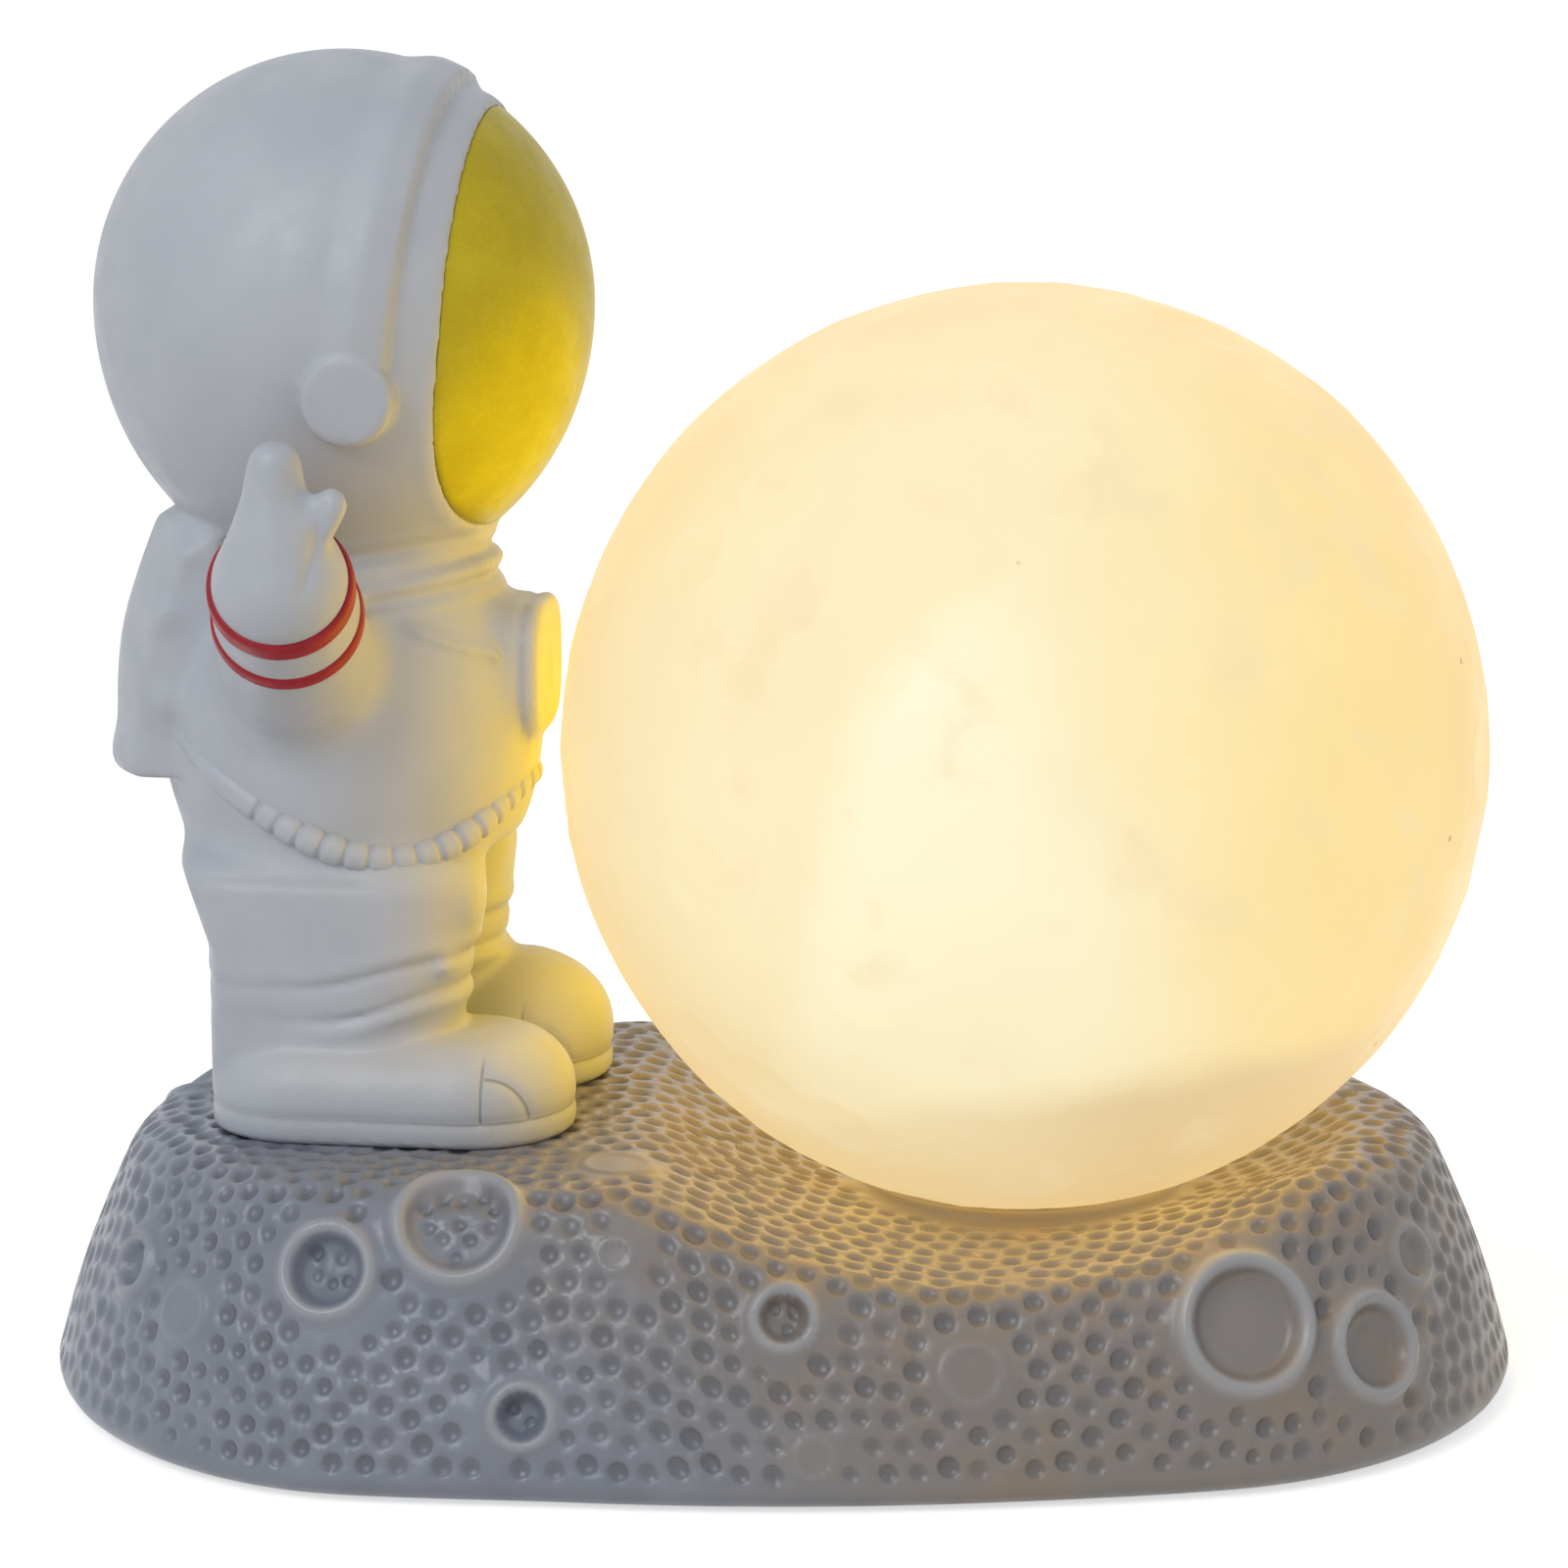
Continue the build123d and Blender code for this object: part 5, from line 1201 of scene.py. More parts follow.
    def visor(self, shop: Workshop) -> None:
        """Builds the gold visor, a thick cap with a rounded edge."""
        outer = self.stance.head_radius - self.visor_sink
        inner = outer - self.visor_depth + 0.3
        steps = 40
        edge = self.visor_half + 0.004
        bands = [(outer, (edge - 0.012) * k / steps) for k in range(steps + 1)]
        bands += [(outer - 0.08, edge - 0.005), (outer - 0.3, edge), (inner, edge)]
        bands += [(inner, edge * (steps - k) / steps) for k in range(1, steps + 1, 3)]
        profile = [(size * math.sin(angle), size * math.cos(angle)) for size, angle in bands]
        profile[-1] = (0.0, inner)
        points, faces = lathe(profile, self.turns)
        size = np.linalg.norm(points, axis=1)
        out = np.maximum(np.hypot(points[:, 0], points[:, 1]), 1e-9)
        low = np.clip(-points[:, 1] / out, 0.0, 1.0)
        turned = np.arctan2(out, points[:, 2]) * self.half(low) / self.visor_half
        shrunk = (size * np.sin(turned) / out)[:, None] * points[:, :2]
        points = np.column_stack([shrunk, size * np.cos(turned)])
        placed = aimed(points, np.zeros(3), self.visor_aim())
        placed[:, 2] = np.where(placed[:, 2] < 0.0, placed[:, 2] / self.chin, placed[:, 2])
        shop.piece("visor_cap", placed + self.stance.head(), faces, Slot.VISOR, ("visor",))


@dataclass
class Figure:
    """The whole figure: suit and helmet as one casting, parted at its seams."""

    stance: Stance
    voxel: float = 0.42
    soft: float = 0.42

    def build(self, shop: Workshop) -> None:
        """Builds the figure's pieces."""
        suit, helmet = SpaceSuit(self.stance), Helmet(self.stance)
        cast = Cast((-74.0, -41.0, 25.0), (-14.0, 43.0, 139.0), self.voxel)
        suit.add_to(cast)
        helmet.add_to(cast)
        cast.soften(self.soft)
        suit.sculpt(cast)
        helmet.sculpt(cast)
        cast.pieces(shop, Slot.SUIT)
        helmet.visor(shop)


@dataclass
class SleeveStripes:
    """Two red rings painted round the raised sleeve."""

    stance: Stance
    root: Triple = (-2.2, -12.16, 73.1)
    aim: Triple = (0.115, -0.822, 0.55)
    root_radius: float = 8.1
    end_radius: float = 6.6
    length: float = 30.0
    places: tuple[float, float] = (18.5, 25.2)
    widths: tuple[float, float] = (2.1, 2.7)
    rise: float = 0.32
    turns: int = 96

    def build(self, shop: Workshop) -> None:
        """Builds both rings as one piece."""
        points: list = []
        faces: list = []
        for place, width in zip(self.places, self.widths):
            ring, sides = lathe(self.profile(place, width), self.turns)
            faces += [[corner + len(points) for corner in side] for side in sides]
            points += list(aimed(ring, self.stance.world(*self.root), self.stance.heading(*self.aim)))
        shop.piece("sleeve_stripes", np.array(points), faces, Slot.STRIPE, ("sleeve_bands",))

    def profile(self, place: float, width: float) -> list[tuple[float, float]]:
        """Rounded flat section of one ring.

        Args:
            place: Where it lies along the sleeve.
            width: Its width.

        Returns:
            Radius and height pairs of the closed section.
        """
        slope = (self.end_radius - self.root_radius) / self.length
        made = []
        for share in np.linspace(1.0, -1.0, 9):
            along = place + share * width / 2.0
            lift = self.rise * math.sqrt(max(0.0, 1.0 - share**4)) - 0.05
            made.append((self.root_radius + slope * along + lift, along))
        low = self.root_radius + slope * place - 0.6
        return made + [(low, place - width / 2.0), (low, place + width / 2.0)]


@dataclass
class WaistHose:
    """Hose round the waist, smooth at the back and beaded over the front."""

    stance: Stance
    hem_z: float = 56.5
    reach: float = 17.3
    belly: float = 1.9
    last_turn: int = 140
    beads: int = 40
    radius: float = 1.68
    groove: float = 0.24
    smooth_share: float = 0.12
    front_sink: float = 0.9
    back_sink: float = 0.6
    low_turn: float = 63.0
    back_turn: float = 102.0
    low_height: float = 0.4
    front_rise: float = 5.8
    back_rise: float = 12.3
    belly_rise: float = 8.85
    points: int = 620
    sides: int = 20

    FRONT = (12.0, 42.0)
    BACK = (90.0, 112.0)

    def path(self, turn: float) -> Array:
        """Point of the hose's middle line.

        Args:
            turn: Angle round the waist in degrees, zero at the front.

        Returns:
            The point in the lamp's frame.
        """
        swing = abs(turn)
        if swing <= self.low_turn:
            rise = self.front_rise * math.cos(math.radians(swing * 90.0 / self.low_turn)) ** 2
        else:
            back = 90.0 * (swing - self.low_turn) / self.back_turn
            rise = self.back_rise * math.sin(math.radians(back)) ** 2
        height = self.low_height + rise
        far = self.reach + self.belly * min(1.0, height / self.belly_rise)
        far -= self.front_sink * (1.0 - float(ease(np.array(swing), *self.FRONT)))
        far -= self.back_sink * float(ease(np.array(swing), *self.BACK))
        place = math.radians(turn)
        return self.stance.world(far * math.cos(place), far * math.sin(place), self.hem_z + height)

    def tree(self) -> bpy.types.NodeTree:
        """Builds the node tree that sweeps a beaded tube along a line of points."""
        inputs = {"Line": SHAPE, "Beads": NUMBER, "Radius": NUMBER, "Groove": NUMBER}
        inputs |= {"Smooth Share": NUMBER, "Material": "NodeSocketMaterial"}
        wire, start, end = node_group("beaded hose", inputs, {"Hose": SHAPE}, "GeometryNodeTree")
        curve = wire.node("GeometryNodeMeshToCurve")
        wire.feed(curve.inputs[0], start.outputs["Line"])
        fine = wire.node("GeometryNodeResampleCurve")
        wire.feed(fine.inputs["Curve"], curve.outputs[0])
        fine.inputs["Count"].default_value = self.points
        share = wire.node("GeometryNodeSplineParameter").outputs["Factor"]
        phase = wire.product(share, start.outputs["Beads"], math.pi)
        dip = wire.math("POWER", wire.math("ABSOLUTE", wire.math("COSINE", phase)), 12.0)
        margin = wire.math("MINIMUM", share, wire.less(1.0, share))
        beaded = wire.math("GREATER_THAN", margin, start.outputs["Smooth Share"])
        cut = wire.product(dip, beaded, start.outputs["Groove"])
        taper = wire.window(margin, 0.0, start.outputs["Smooth Share"], 0.62, 1.0)
        thick = wire.product(taper, start.outputs["Radius"])
        size = wire.product(wire.less(1.0, cut), thick)
        ring = wire.node("GeometryNodeCurvePrimitiveCircle")
        ring.inputs["Resolution"].default_value = self.sides
        ring.inputs["Radius"].default_value = 1.0
        tube = wire.node("GeometryNodeCurveToMesh")
        wire.feed(tube.inputs["Profile Curve"], ring.outputs[0])
        tube.inputs["Fill Caps"].default_value = True
        wire.feed(tube.inputs["Curve"], fine.outputs[0])
        wire.feed(tube.inputs["Scale"], size)
        wire.feed(end.inputs[0], wire.painted(tube.outputs[0], start.outputs["Material"]))
        return wire.tree

    def build(self, shop: Workshop) -> None:
        """Builds the hose."""
        line = [self.path(turn) * MM for turn in range(-self.last_turn, self.last_turn + 1, 2)]
        source = bpy.data.meshes.new("hose_line")
        source.from_pydata([tuple(p) for p in line], [(k, k + 1) for k in range(len(line) - 1)], [])
        values = {
            "Beads": float(self.beads),
            "Radius": self.radius * MM,
            "Groove": self.groove,
            "Smooth Share": self.smooth_share,
            "Material": shop.paints.made[Slot.SUIT],
        }
        shop.register(shop.grow("beaded_hose", self.tree(), values, source), Slot.SUIT, ("waist_hose",))


@dataclass
class MoonGlobe:
    """Glowing globe with faint craters and a flat foot."""

    NAME = "moon_ball"

    x: float = 24.3
    z: float = 65.69
    radius: float = 47.2
    foot_z: float = 21.5
    relief: float = 0.45

    def tree(self) -> bpy.types.NodeTree:
        """Builds the node tree that dents a ball with noise and craters and flattens its foot."""
        inputs = {"Start": SHAPE, "Radius": NUMBER, "Relief": NUMBER, "Foot": NUMBER}
        inputs |= {"Middle": "NodeSocketVector", "Material": "NodeSocketMaterial"}
        wire, start, end = node_group("dented globe", inputs, {"Globe": SHAPE}, "GeometryNodeTree")
        ball = wire.node("GeometryNodeMeshIcoSphere")
        ball.inputs["Radius"].default_value = 1.0
        ball.inputs["Subdivisions"].default_value = 7
        place = wire.node("GeometryNodeInputPosition").outputs[0]
        cells = wire.node("ShaderNodeTexVoronoi")
        wire.feed(cells.inputs["Vector"], place)
        cells.inputs["Scale"].default_value = 3.4
        bowl = wire.window(cells.outputs["Distance"], 0.34, 0.16)
        lip = wire.window(wire.math("ABSOLUTE", wire.less(cells.outputs["Distance"], 0.36)), 0.07, 0.0)
        fine = wire.product(wire.noise(place, 16.0, 3.0), 0.3)
        rough = wire.total(wire.noise(place, 2.2, 2.0), fine)
        dents = wire.total(rough, wire.product(bowl, 0.45))
        total = wire.less(dents, wire.product(lip, 0.2))
        sunk = wire.product(wire.math("MAXIMUM", total, 0.0), start.outputs["Relief"])
        size = wire.less(start.outputs["Radius"], sunk)
        scaled = wire.vector("SCALE", place)
        wire.feed(scaled.inputs["Scale"], size)
        moved = wire.vector("ADD", scaled.outputs[0], start.outputs["Middle"]).outputs[0]
        across, deep, up = wire.axes(moved)
        flat = wire.node("ShaderNodeCombineXYZ")
        stopped = wire.math("MAXIMUM", up, start.outputs["Foot"])
        for socket, source in zip(flat.inputs, (across, deep, stopped)):
            wire.feed(socket, source)
        shift = wire.node("GeometryNodeSetPosition")
        wire.feed(shift.inputs["Geometry"], ball.outputs[0])
        wire.feed(shift.inputs["Position"], flat.outputs[0])
        wire.feed(end.inputs[0], wire.painted(shift.outputs[0], start.outputs["Material"]))
        return wire.tree

    def build(self, shop: Workshop) -> None:
        """Builds the globe."""
        values = {
            "Radius": self.radius * MM,
            "Relief": self.relief * MM,
            "Foot": self.foot_z * MM,
            "Middle": (self.x * MM, 0.0, self.z * MM),
            "Material": shop.paints.made[Slot.GLOBE],
        }
        source = bpy.data.meshes.new("globe_start")
        shop.register(shop.grow(self.NAME, self.tree(), values, source), Slot.GLOBE, ("moon_globe",))


@dataclass(frozen=True)
class Crater:
    """A ring-shaped mark on the base.

    Attributes:
        place: Its middle, near the surface.
        radius: Radius of the ring's crest.
        sink: Depth of the floor, or height when below zero.
        lift: Height of the crest.
        wide: Half width of the crest.
        dimpled: Whether the floor has dimples too.
    """

    place: Triple
    radius: float
    sink: float
    lift: float
    wide: float = 0.75
    dimpled: bool = False

    STEPS = (2.2, 1.5, 1.0, 0.5, 0.0, -0.5, -1.0, -1.5, -2.1)

    def height(self, far: Array) -> Array:
        """Height of the surface at a distance from the middle."""
        floor = 1.0 - ease(far, self.radius - 2.2 * self.wide, self.radius - 0.6 * self.wide)
        return self.lift * hump(far - self.radius, self.wide) - self.sink * floor

    def rings(self) -> list[float]:
        """Radii of the circles of points that carry its shape."""
        made = [self.radius + self.wide * step for step in self.STEPS]
        inner = made[-1] - 0.9
        while inner > 0.4 and not self.dimpled:
            made.append(inner)
            inner -= 0.9
        return [radius for radius in made if radius > 0.35]


@dataclass
class MoonBase:
    """Oval grey base: lean wall, round shoulder and scooped top under a skin of round dimples."""

    half_length: float = 75.0
    half_depth: float = 46.0
    bulge: float = 4.0
    bottom: float = 0.35
    top: float = 28.5
    left_square: float = 0.065
    right_square: float = 0.02
    steep: float = math.radians(70.0)
    shoulder: float = 7.0
    rim: float = 2.5
    globe_x: float = 24.7
    dish_z: float = 88.58
    dish_radius: float = 70.0
    scoop_x: float = 20.5
    scoop_depth: float = 8.5
    lip_loss: float = 4.0
    belly: float = 0.6
    seat_radius: float = 16.8
    seat_z: float = 21.5
    pitch: float = 2.72
    pit_radius: float = 1.2
    pit_depth: float = 0.58
    edge: int = 420
    seed: int = 11
    left_drop: float = 0.9
    right_drop: float = 1.4
    scoop_blend: float = 1.6
    dish_blend: float = 1.2
    seat_step: float = 0.3
    seat_points: int = 90
    plan_half: float = 98.0
    plan_depth: float = 68.0
    throws: int = 60000
    rounds: int = 30
    pit_margin: float = 5.4
    tiny_share: float = 0.08
    tiny_size: float = 0.7
    floor_size: float = 0.68
    floor_throws: int = 90
    floor_gap: float = 1.75
    least_gap: float = 0.8
    push_reach: float = 1.22
    push_share: float = 0.13
    batch: int = 400
    rim_back: float = 3.6
    rim_loops: int = 6
    fill_step: float = 1.7
    fill_jitter: float = 0.4
    fill_gap: float = 0.75
    search_step: float = 0.4
    nudge: float = 0.05
    room_top: float = 17.5
    rebate_z: float = 4.2

    LEFT_END = (52.0, 66.0)
    RIGHT_END = (40.0, 62.0)
    SQUARE_ALONG = (20.0, 55.0)
    SQUARE_FRONT = (0.0, 20.0)
    SHALLOW_ENDS = (57.0, 72.0)
    # Share of a dimple's radius, number of points and share of its depth
    PIT_RINGS = ((1.0, 12, -0.04), (0.78, 10, 0.5), (0.44, 6, 0.88))
    CRATERS = (
        Crater((-31.6, -34.5, 26.1), 5.8, 0.9, 1.2, 0.85, True),
        Crater((-43.8, -34.2, 20.7), 4.3, 1.5, 1.1, 0.8, True),
        Crater((-63.6, -21.0, 17.4), 2.8, 0.9, 0.85, 0.65),
        Crater((-25.1, -42.4, 8.8), 2.9, 1.4, 0.85, 0.7, True),
        Crater((0.0, -40.7, 18.1), 2.9, 0.9, 0.95, 0.7, True),
        Crater((44.7, -35.8, 15.9), 6.3, 1.0, 1.25, 0.9),
        Crater((57.4, -30.5, 12.0), 4.8, 0.9, 1.1, 0.85),
        Crater((61.8, -22.5, 18.8), 2.8, 0.5, 0.55, 0.6),
        Crater((-60.5, 12.0, 26.5), 4.3, 0.5, 0.5, 0.8),
        Crater((-30.0, 38.5, 19.0), 4.8, 1.2, 0.8, 0.75, True),
        Crater((33.0, 39.0, 13.0), 5.4, 1.0, 0.8, 0.75, True),
        Crater((66.0, 14.0, 16.0), 4.0, 0.9, 0.7, 0.7),
        Crater((-57.5, -29.1, 14.8), 2.8, -0.05, 0.3, 0.45),
        Crater((-16.3, -38.0, 23.8), 1.6, -0.05, 0.28, 0.4),
        Crater((-16.5, -23.5, 28.5), 3.2, -0.05, 0.32, 0.45),
        Crater((17.9, -41.8, 12.8), 2.8, -0.05, 0.28, 0.45),
        Crater((3.1, -45.3, 5.6), 1.9, -0.05, 0.28, 0.4),
    )

    def __post_init__(self) -> None:
        """Works out the plan of the base."""
        end_radius = self.half_depth - self.bulge
        self.end_x = self.half_length - end_radius
        side = (self.end_x**2 + self.half_depth**2 - end_radius**2) / (2.0 * self.bulge)
        self.side_y = side - self.half_depth
        sin, cos = math.sin(self.steep), math.cos(self.steep)
        self.wall_end = self.bottom + self.rim * (1.0 + cos)
        wall = (self.top - self.shoulder * (1.0 - cos) - self.wall_end) / sin
        self.inset = self.shoulder * sin + wall * cos + self.rim * (1.0 - sin)
        self.end_radius = end_radius - self.inset
        self.side_radius = side - self.inset
        self.random = np.random.default_rng(self.seed)

    def ground(self, spot: Array) -> Array:
        """Height of the scooped top over points, before the shoulder turns down."""
        far = self.from_globe(spot)
        dish = self.dish_z - np.sqrt(np.maximum(self.dish_radius**2 - np.square(far), 1.0))
        reach = self.dish_radius**2 - np.square(spot[:, 0] - self.scoop_x)
        scoop = self.top - self.scoop_depth + self.dish_radius - np.sqrt(np.maximum(reach, 1.0))
        ends = self.right_drop * ease(spot[:, 0], *self.RIGHT_END)
        ends = ends + self.left_drop * ease(-spot[:, 0], *self.LEFT_END)
        height = soft_min(soft_min(self.top - ends, scoop, self.scoop_blend), dish, self.dish_blend)
        seat = 1.0 - ease(far, self.seat_radius - self.seat_step, self.seat_radius + self.seat_step)
        return height + (self.seat_z - height) * seat

    def from_globe(self, spot: Array) -> Array:
        """Distance of points from the upright line through the globe's middle."""
        return np.hypot(spot[:, 0] - self.globe_x, spot[:, 1])

    def plan(self, flat: Array) -> tuple[Array, Array]:
        """Distance outside the flat top's edge, and the outward direction, of plan points.

        Args:
            flat: Points of the unrolled plan.

        Returns:
            Distances and directions.
        """
        sign = np.where(flat < 0.0, -1.0, 1.0)
        size = np.abs(flat)
        by_side = self.beside(flat)
        middle = np.where(by_side[:, None], (0.0, -self.side_y), (self.end_x, 0.0))
        away = size - middle
        length = np.maximum(np.linalg.norm(away, axis=1), 1e-9)
        distance = length - np.where(by_side, self.side_radius, self.end_radius)
        return distance, away / length[:, None] * sign

    def beside(self, flat: Array) -> Array:
        """Whether plan points lie by the long sides, not by the round ends."""
        size = np.abs(flat)
        return size[:, 0] * self.side_y < self.end_x * (size[:, 1] + self.side_y)

    def lip(self, root: Array, outward: Array) -> tuple[Array, Array, Array, Array]:
        """Works out the edge of the scooped top.

        Args:
            root: Points of the flat top's edge.
            outward: Outward directions there.

        Returns:
            How far outside the edge the shoulder starts, its radius, its height and the wall's length.
        """
        begin = np.zeros(len(root))
        for _ in range(3):
            height = self.ground(root + outward * begin[:, None])
            drop = self.top - height
            bend = self.shoulder - self.lip_loss * np.clip(drop / self.scoop_depth, 0.0, 1.0)
            begin = drop / math.tan(self.steep) + math.tan(self.steep / 2.0) * (self.shoulder - bend)
        wall = (height - bend * (1.0 - math.cos(self.steep)) - self.wall_end) / math.sin(self.steep)
        return begin, bend, height, wall

    def last(self, flat: Array) -> Array:
        """Distance outside the flat top's edge at which the base ends below plan points."""
        distance, outward = self.plan(flat)
        begin, bend, _, wall = self.lip(flat - outward * distance[:, None], outward)
        return begin + bend * self.steep + wall + self.rim * (math.pi - self.steep)

    def inside(self, flat: Array, margin: float = 0.0) -> Array:
        """Whether plan points lie more than this margin before the base's lower end."""
        return self.plan(flat)[0] < self.last(flat) - margin

    def grid(self, step: float) -> Array:
        """Plan points of a square grid that covers the whole unrolled base."""
        steps = np.arange(-self.plan_half, self.plan_half + 0.1, step)
        deep = steps[np.abs(steps) < self.plan_depth]
        return np.stack(np.meshgrid(steps, deep, indexing="ij"), axis=-1).reshape(-1, 2)

    def lift_up(self, flat: Array) -> Array:
        """Places plan points on the smooth base.

        Args:
            flat: Points of the unrolled plan.

        Returns:
            Points in the lamp's frame.
        """
        distance, outward = self.plan(flat)
        root = flat - outward * distance[:, None]
        begin, bend, crest, wall = self.lip(root, outward)
        run = np.maximum(distance - begin, 0.0)
        sin, cos = math.sin(self.steep), math.cos(self.steep)
        turn = np.clip(run / bend, 0.0, self.steep)
        down = np.clip(run - bend * self.steep, 0.0, wall)
        out = bend * np.sin(turn) + down * cos + self.belly * np.sin(np.pi * down / wall)
        height = crest - bend * (1.0 - np.cos(turn)) - down * sin
        curl = run - bend * self.steep - wall
        bent = self.steep + np.maximum(curl, 0.0) / self.rim
        low = curl > 0.0
        out = np.where(low, bend * sin + wall * cos + self.rim * (np.sin(bent) - sin), out)
        height = np.where(low, self.bottom + self.rim * (1.0 + np.cos(bent)), height)
        past = distance > begin
        spot = np.where(past[:, None], root + outward * (begin + out)[:, None], flat)
        height = np.where(past, height, self.ground(spot))
        share = np.where(spot[:, 0] < 0.0, self.left_square, self.right_square)
        along = ease(np.abs(spot[:, 0]), *self.SQUARE_ALONG)
        wider = 1.0 + share * along * ease(-spot[:, 1], *self.SQUARE_FRONT)
        return np.column_stack([spot[:, 0], spot[:, 1] * wider, height])

    def normals(self, flat: Array) -> Array:
        """Outward normals of the smooth base at plan points."""
        step = self.nudge
        along = self.lift_up(flat + (step, 0.0)) - self.lift_up(flat - (step, 0.0))
        across = self.lift_up(flat + (0.0, step)) - self.lift_up(flat - (0.0, step))
        made = np.cross(along, across)
        return made / np.maximum(np.linalg.norm(made, axis=1, keepdims=True), 1e-12)

    def stretch(self, flat: Array) -> tuple[Array, Array, Array]:
        """Outward and sideways plan directions, and how far the plan is stretched sideways."""
        distance, outward = self.plan(flat)
        spot = self.lift_up(flat)[:, :2]
        root = flat - outward * distance[:, None]
        out = np.sum((spot - root) * outward, axis=1)
        curve = np.where(self.beside(flat), self.side_radius, self.end_radius)
        ratio = np.where(distance > 0.0, (curve + distance) / (curve + out), 1.0)
        sideways = np.column_stack([-outward[:, 1], outward[:, 0]])
        return outward, sideways, ratio

    def ring(self, middle: Array, radius: float, count: int, start: float) -> Array:
        """Plan points of a circle that is round on the finished base.

        Args:
            middle: Plan point of its middle, outward and sideways directions and stretch, in one row.
            radius: Its radius.
            count: How many points.
            start: Angle of the first point.

        Returns:
            The plan points.
        """
        angles = start + full_turn(count)
        away = np.cos(angles)[:, None] * middle[2:4] + np.sin(angles)[:, None] * middle[4:6] * middle[6]
        return middle[:2] + radius * away

    def framed(self, flat: Array) -> Array:
        """Rows of plan points with their directions and stretch, as ring takes them."""
        outward, sideways, ratio = self.stretch(flat)
        return np.column_stack([flat, outward, sideways, ratio])

    def spread(self) -> Array:
        """Spreads dimple middles evenly over the base and returns their plan points."""
        size = np.array((self.plan_half, self.half_depth + self.plan_half - self.half_length))
        tries = (self.random.random((self.throws, 2)) * 2.0 - 1.0) * size
        tries = tries[self.inside(tries, self.pit_margin)]
        spots = self.lift_up(tries)
        least = self.pitch * self.least_gap
        cells: dict[tuple[int, int, int], list[int]] = {}
        kept: list[int] = []
        for k, spot in enumerate(spots):
            cell = tuple((spot // self.pitch).astype(int))
            around = [
                other
                for i in (-1, 0, 1)
                for j in (-1, 0, 1)
                for h in (-1, 0, 1)
                for other in cells.get((cell[0] + i, cell[1] + j, cell[2] + h), ())
            ]
            if around and np.min(np.linalg.norm(spots[around] - spot, axis=1)) < least:
                continue
            cells.setdefault(cell, []).append(k)
            kept.append(k)
        flat = tries[kept]
        for _ in range(self.rounds):
            flat = self.relax(flat)
        return flat

    def relax(self, flat: Array) -> Array:
        """Pushes crowded dimple middles apart once and returns their new plan points."""
        spots = self.lift_up(flat)
        push = np.zeros_like(spots)
        wide = self.pitch * self.push_reach
        for start in range(0, len(spots), self.batch):
            part = slice(start, start + self.batch)
            away = spots[part][:, None, :] - spots[None, :, :]
            far = np.linalg.norm(away, axis=2)
            near = np.where((far > 1e-6) & (far < wide), wide - far, 0.0)
            push[part] = np.sum(away * (near / np.maximum(far, 1e-6))[:, :, None], axis=1)
        outward, sideways, ratio = self.stretch(flat)
        down = self.lift_up(flat + outward * self.nudge) - spots
        down /= np.maximum(np.linalg.norm(down, axis=1, keepdims=True), 1e-9)
        along = np.sum(push * down, axis=1)
        across = np.sum(push[:, :2] * sideways, axis=1) * ratio
        moved = flat + self.push_share * (outward * along[:, None] + sideways * across[:, None])
        inside = self.inside(moved, 5.3)
        return np.where(inside[:, None], moved, flat)

    def crater_marks(self) -> list[tuple[Crater, Array, Array]]:
        """Finds each crater's middle on the base and returns it with its framed plan point and place."""
        flat = self.grid(self.search_step)
        flat = flat[self.inside(flat)]
        spots = self.lift_up(flat)
        found = []
        for crater in self.CRATERS:
            nearest = int(np.argmin(np.linalg.norm(spots - np.array(crater.place), axis=1)))
            found.append((crater, self.framed(flat[nearest : nearest + 1])[0], spots[nearest]))
        return found

    def dimples(self, craters: list) -> tuple[Array, Array, Array]:
        """Lays out all dimples, outside the craters and on their floors.

        Args:
            craters: Craters with their places.

        Returns:
            Framed plan points, radii and depths.
        """
        flat = self.spread()
        spots = self.lift_up(flat)
        keep = self.from_globe(spots) > self.seat_radius + 1.6
        for crater, _, place in craters:
            keep &= np.linalg.norm(spots - place, axis=1) > crater.radius + 1.2 * crater.wide + 0.9
        inner = self.crater_floors(craters)
        flat = np.concatenate([flat[keep], inner])
        spots = self.lift_up(flat)
        small = np.arange(len(flat)) >= np.count_nonzero(keep)
        sizes = self.pit_radius * (1.0 + 0.1 * self.random.standard_normal(len(flat)).clip(-2.0, 1.0))
        tiny = self.random.random(len(flat)) < self.tiny_share
        sizes = sizes * np.where(tiny, self.tiny_size, np.where(small, self.floor_size, 1.0))
        ends = 1.0 - 0.5 * ease(np.abs(spots[:, 0]), *self.SHALLOW_ENDS)
        uneven = 0.75 + 0.4 * self.random.random(len(flat))
        depths = self.pit_depth * ends * uneven * sizes / self.pit_radius
        return self.framed(flat), sizes, depths

    def crater_floors(self, craters: list) -> Array:
        """Strews dimple middles over the floors of the dimpled craters and returns their plan points."""
        made = []
        for crater, middle, _ in craters:
            room = crater.radius - 1.2 * crater.wide - 0.7
            kept: list[Array] = []
            for far, turn in self.random.random((self.floor_throws * crater.dimpled, 2)):
                spot = self.ring(middle, room * math.sqrt(far), 1, turn * 2.0 * math.pi)[0]
                if all(np.linalg.norm(spot - other) > self.floor_gap for other in kept):
                    kept.append(spot)
            made += kept
        return np.array(made)

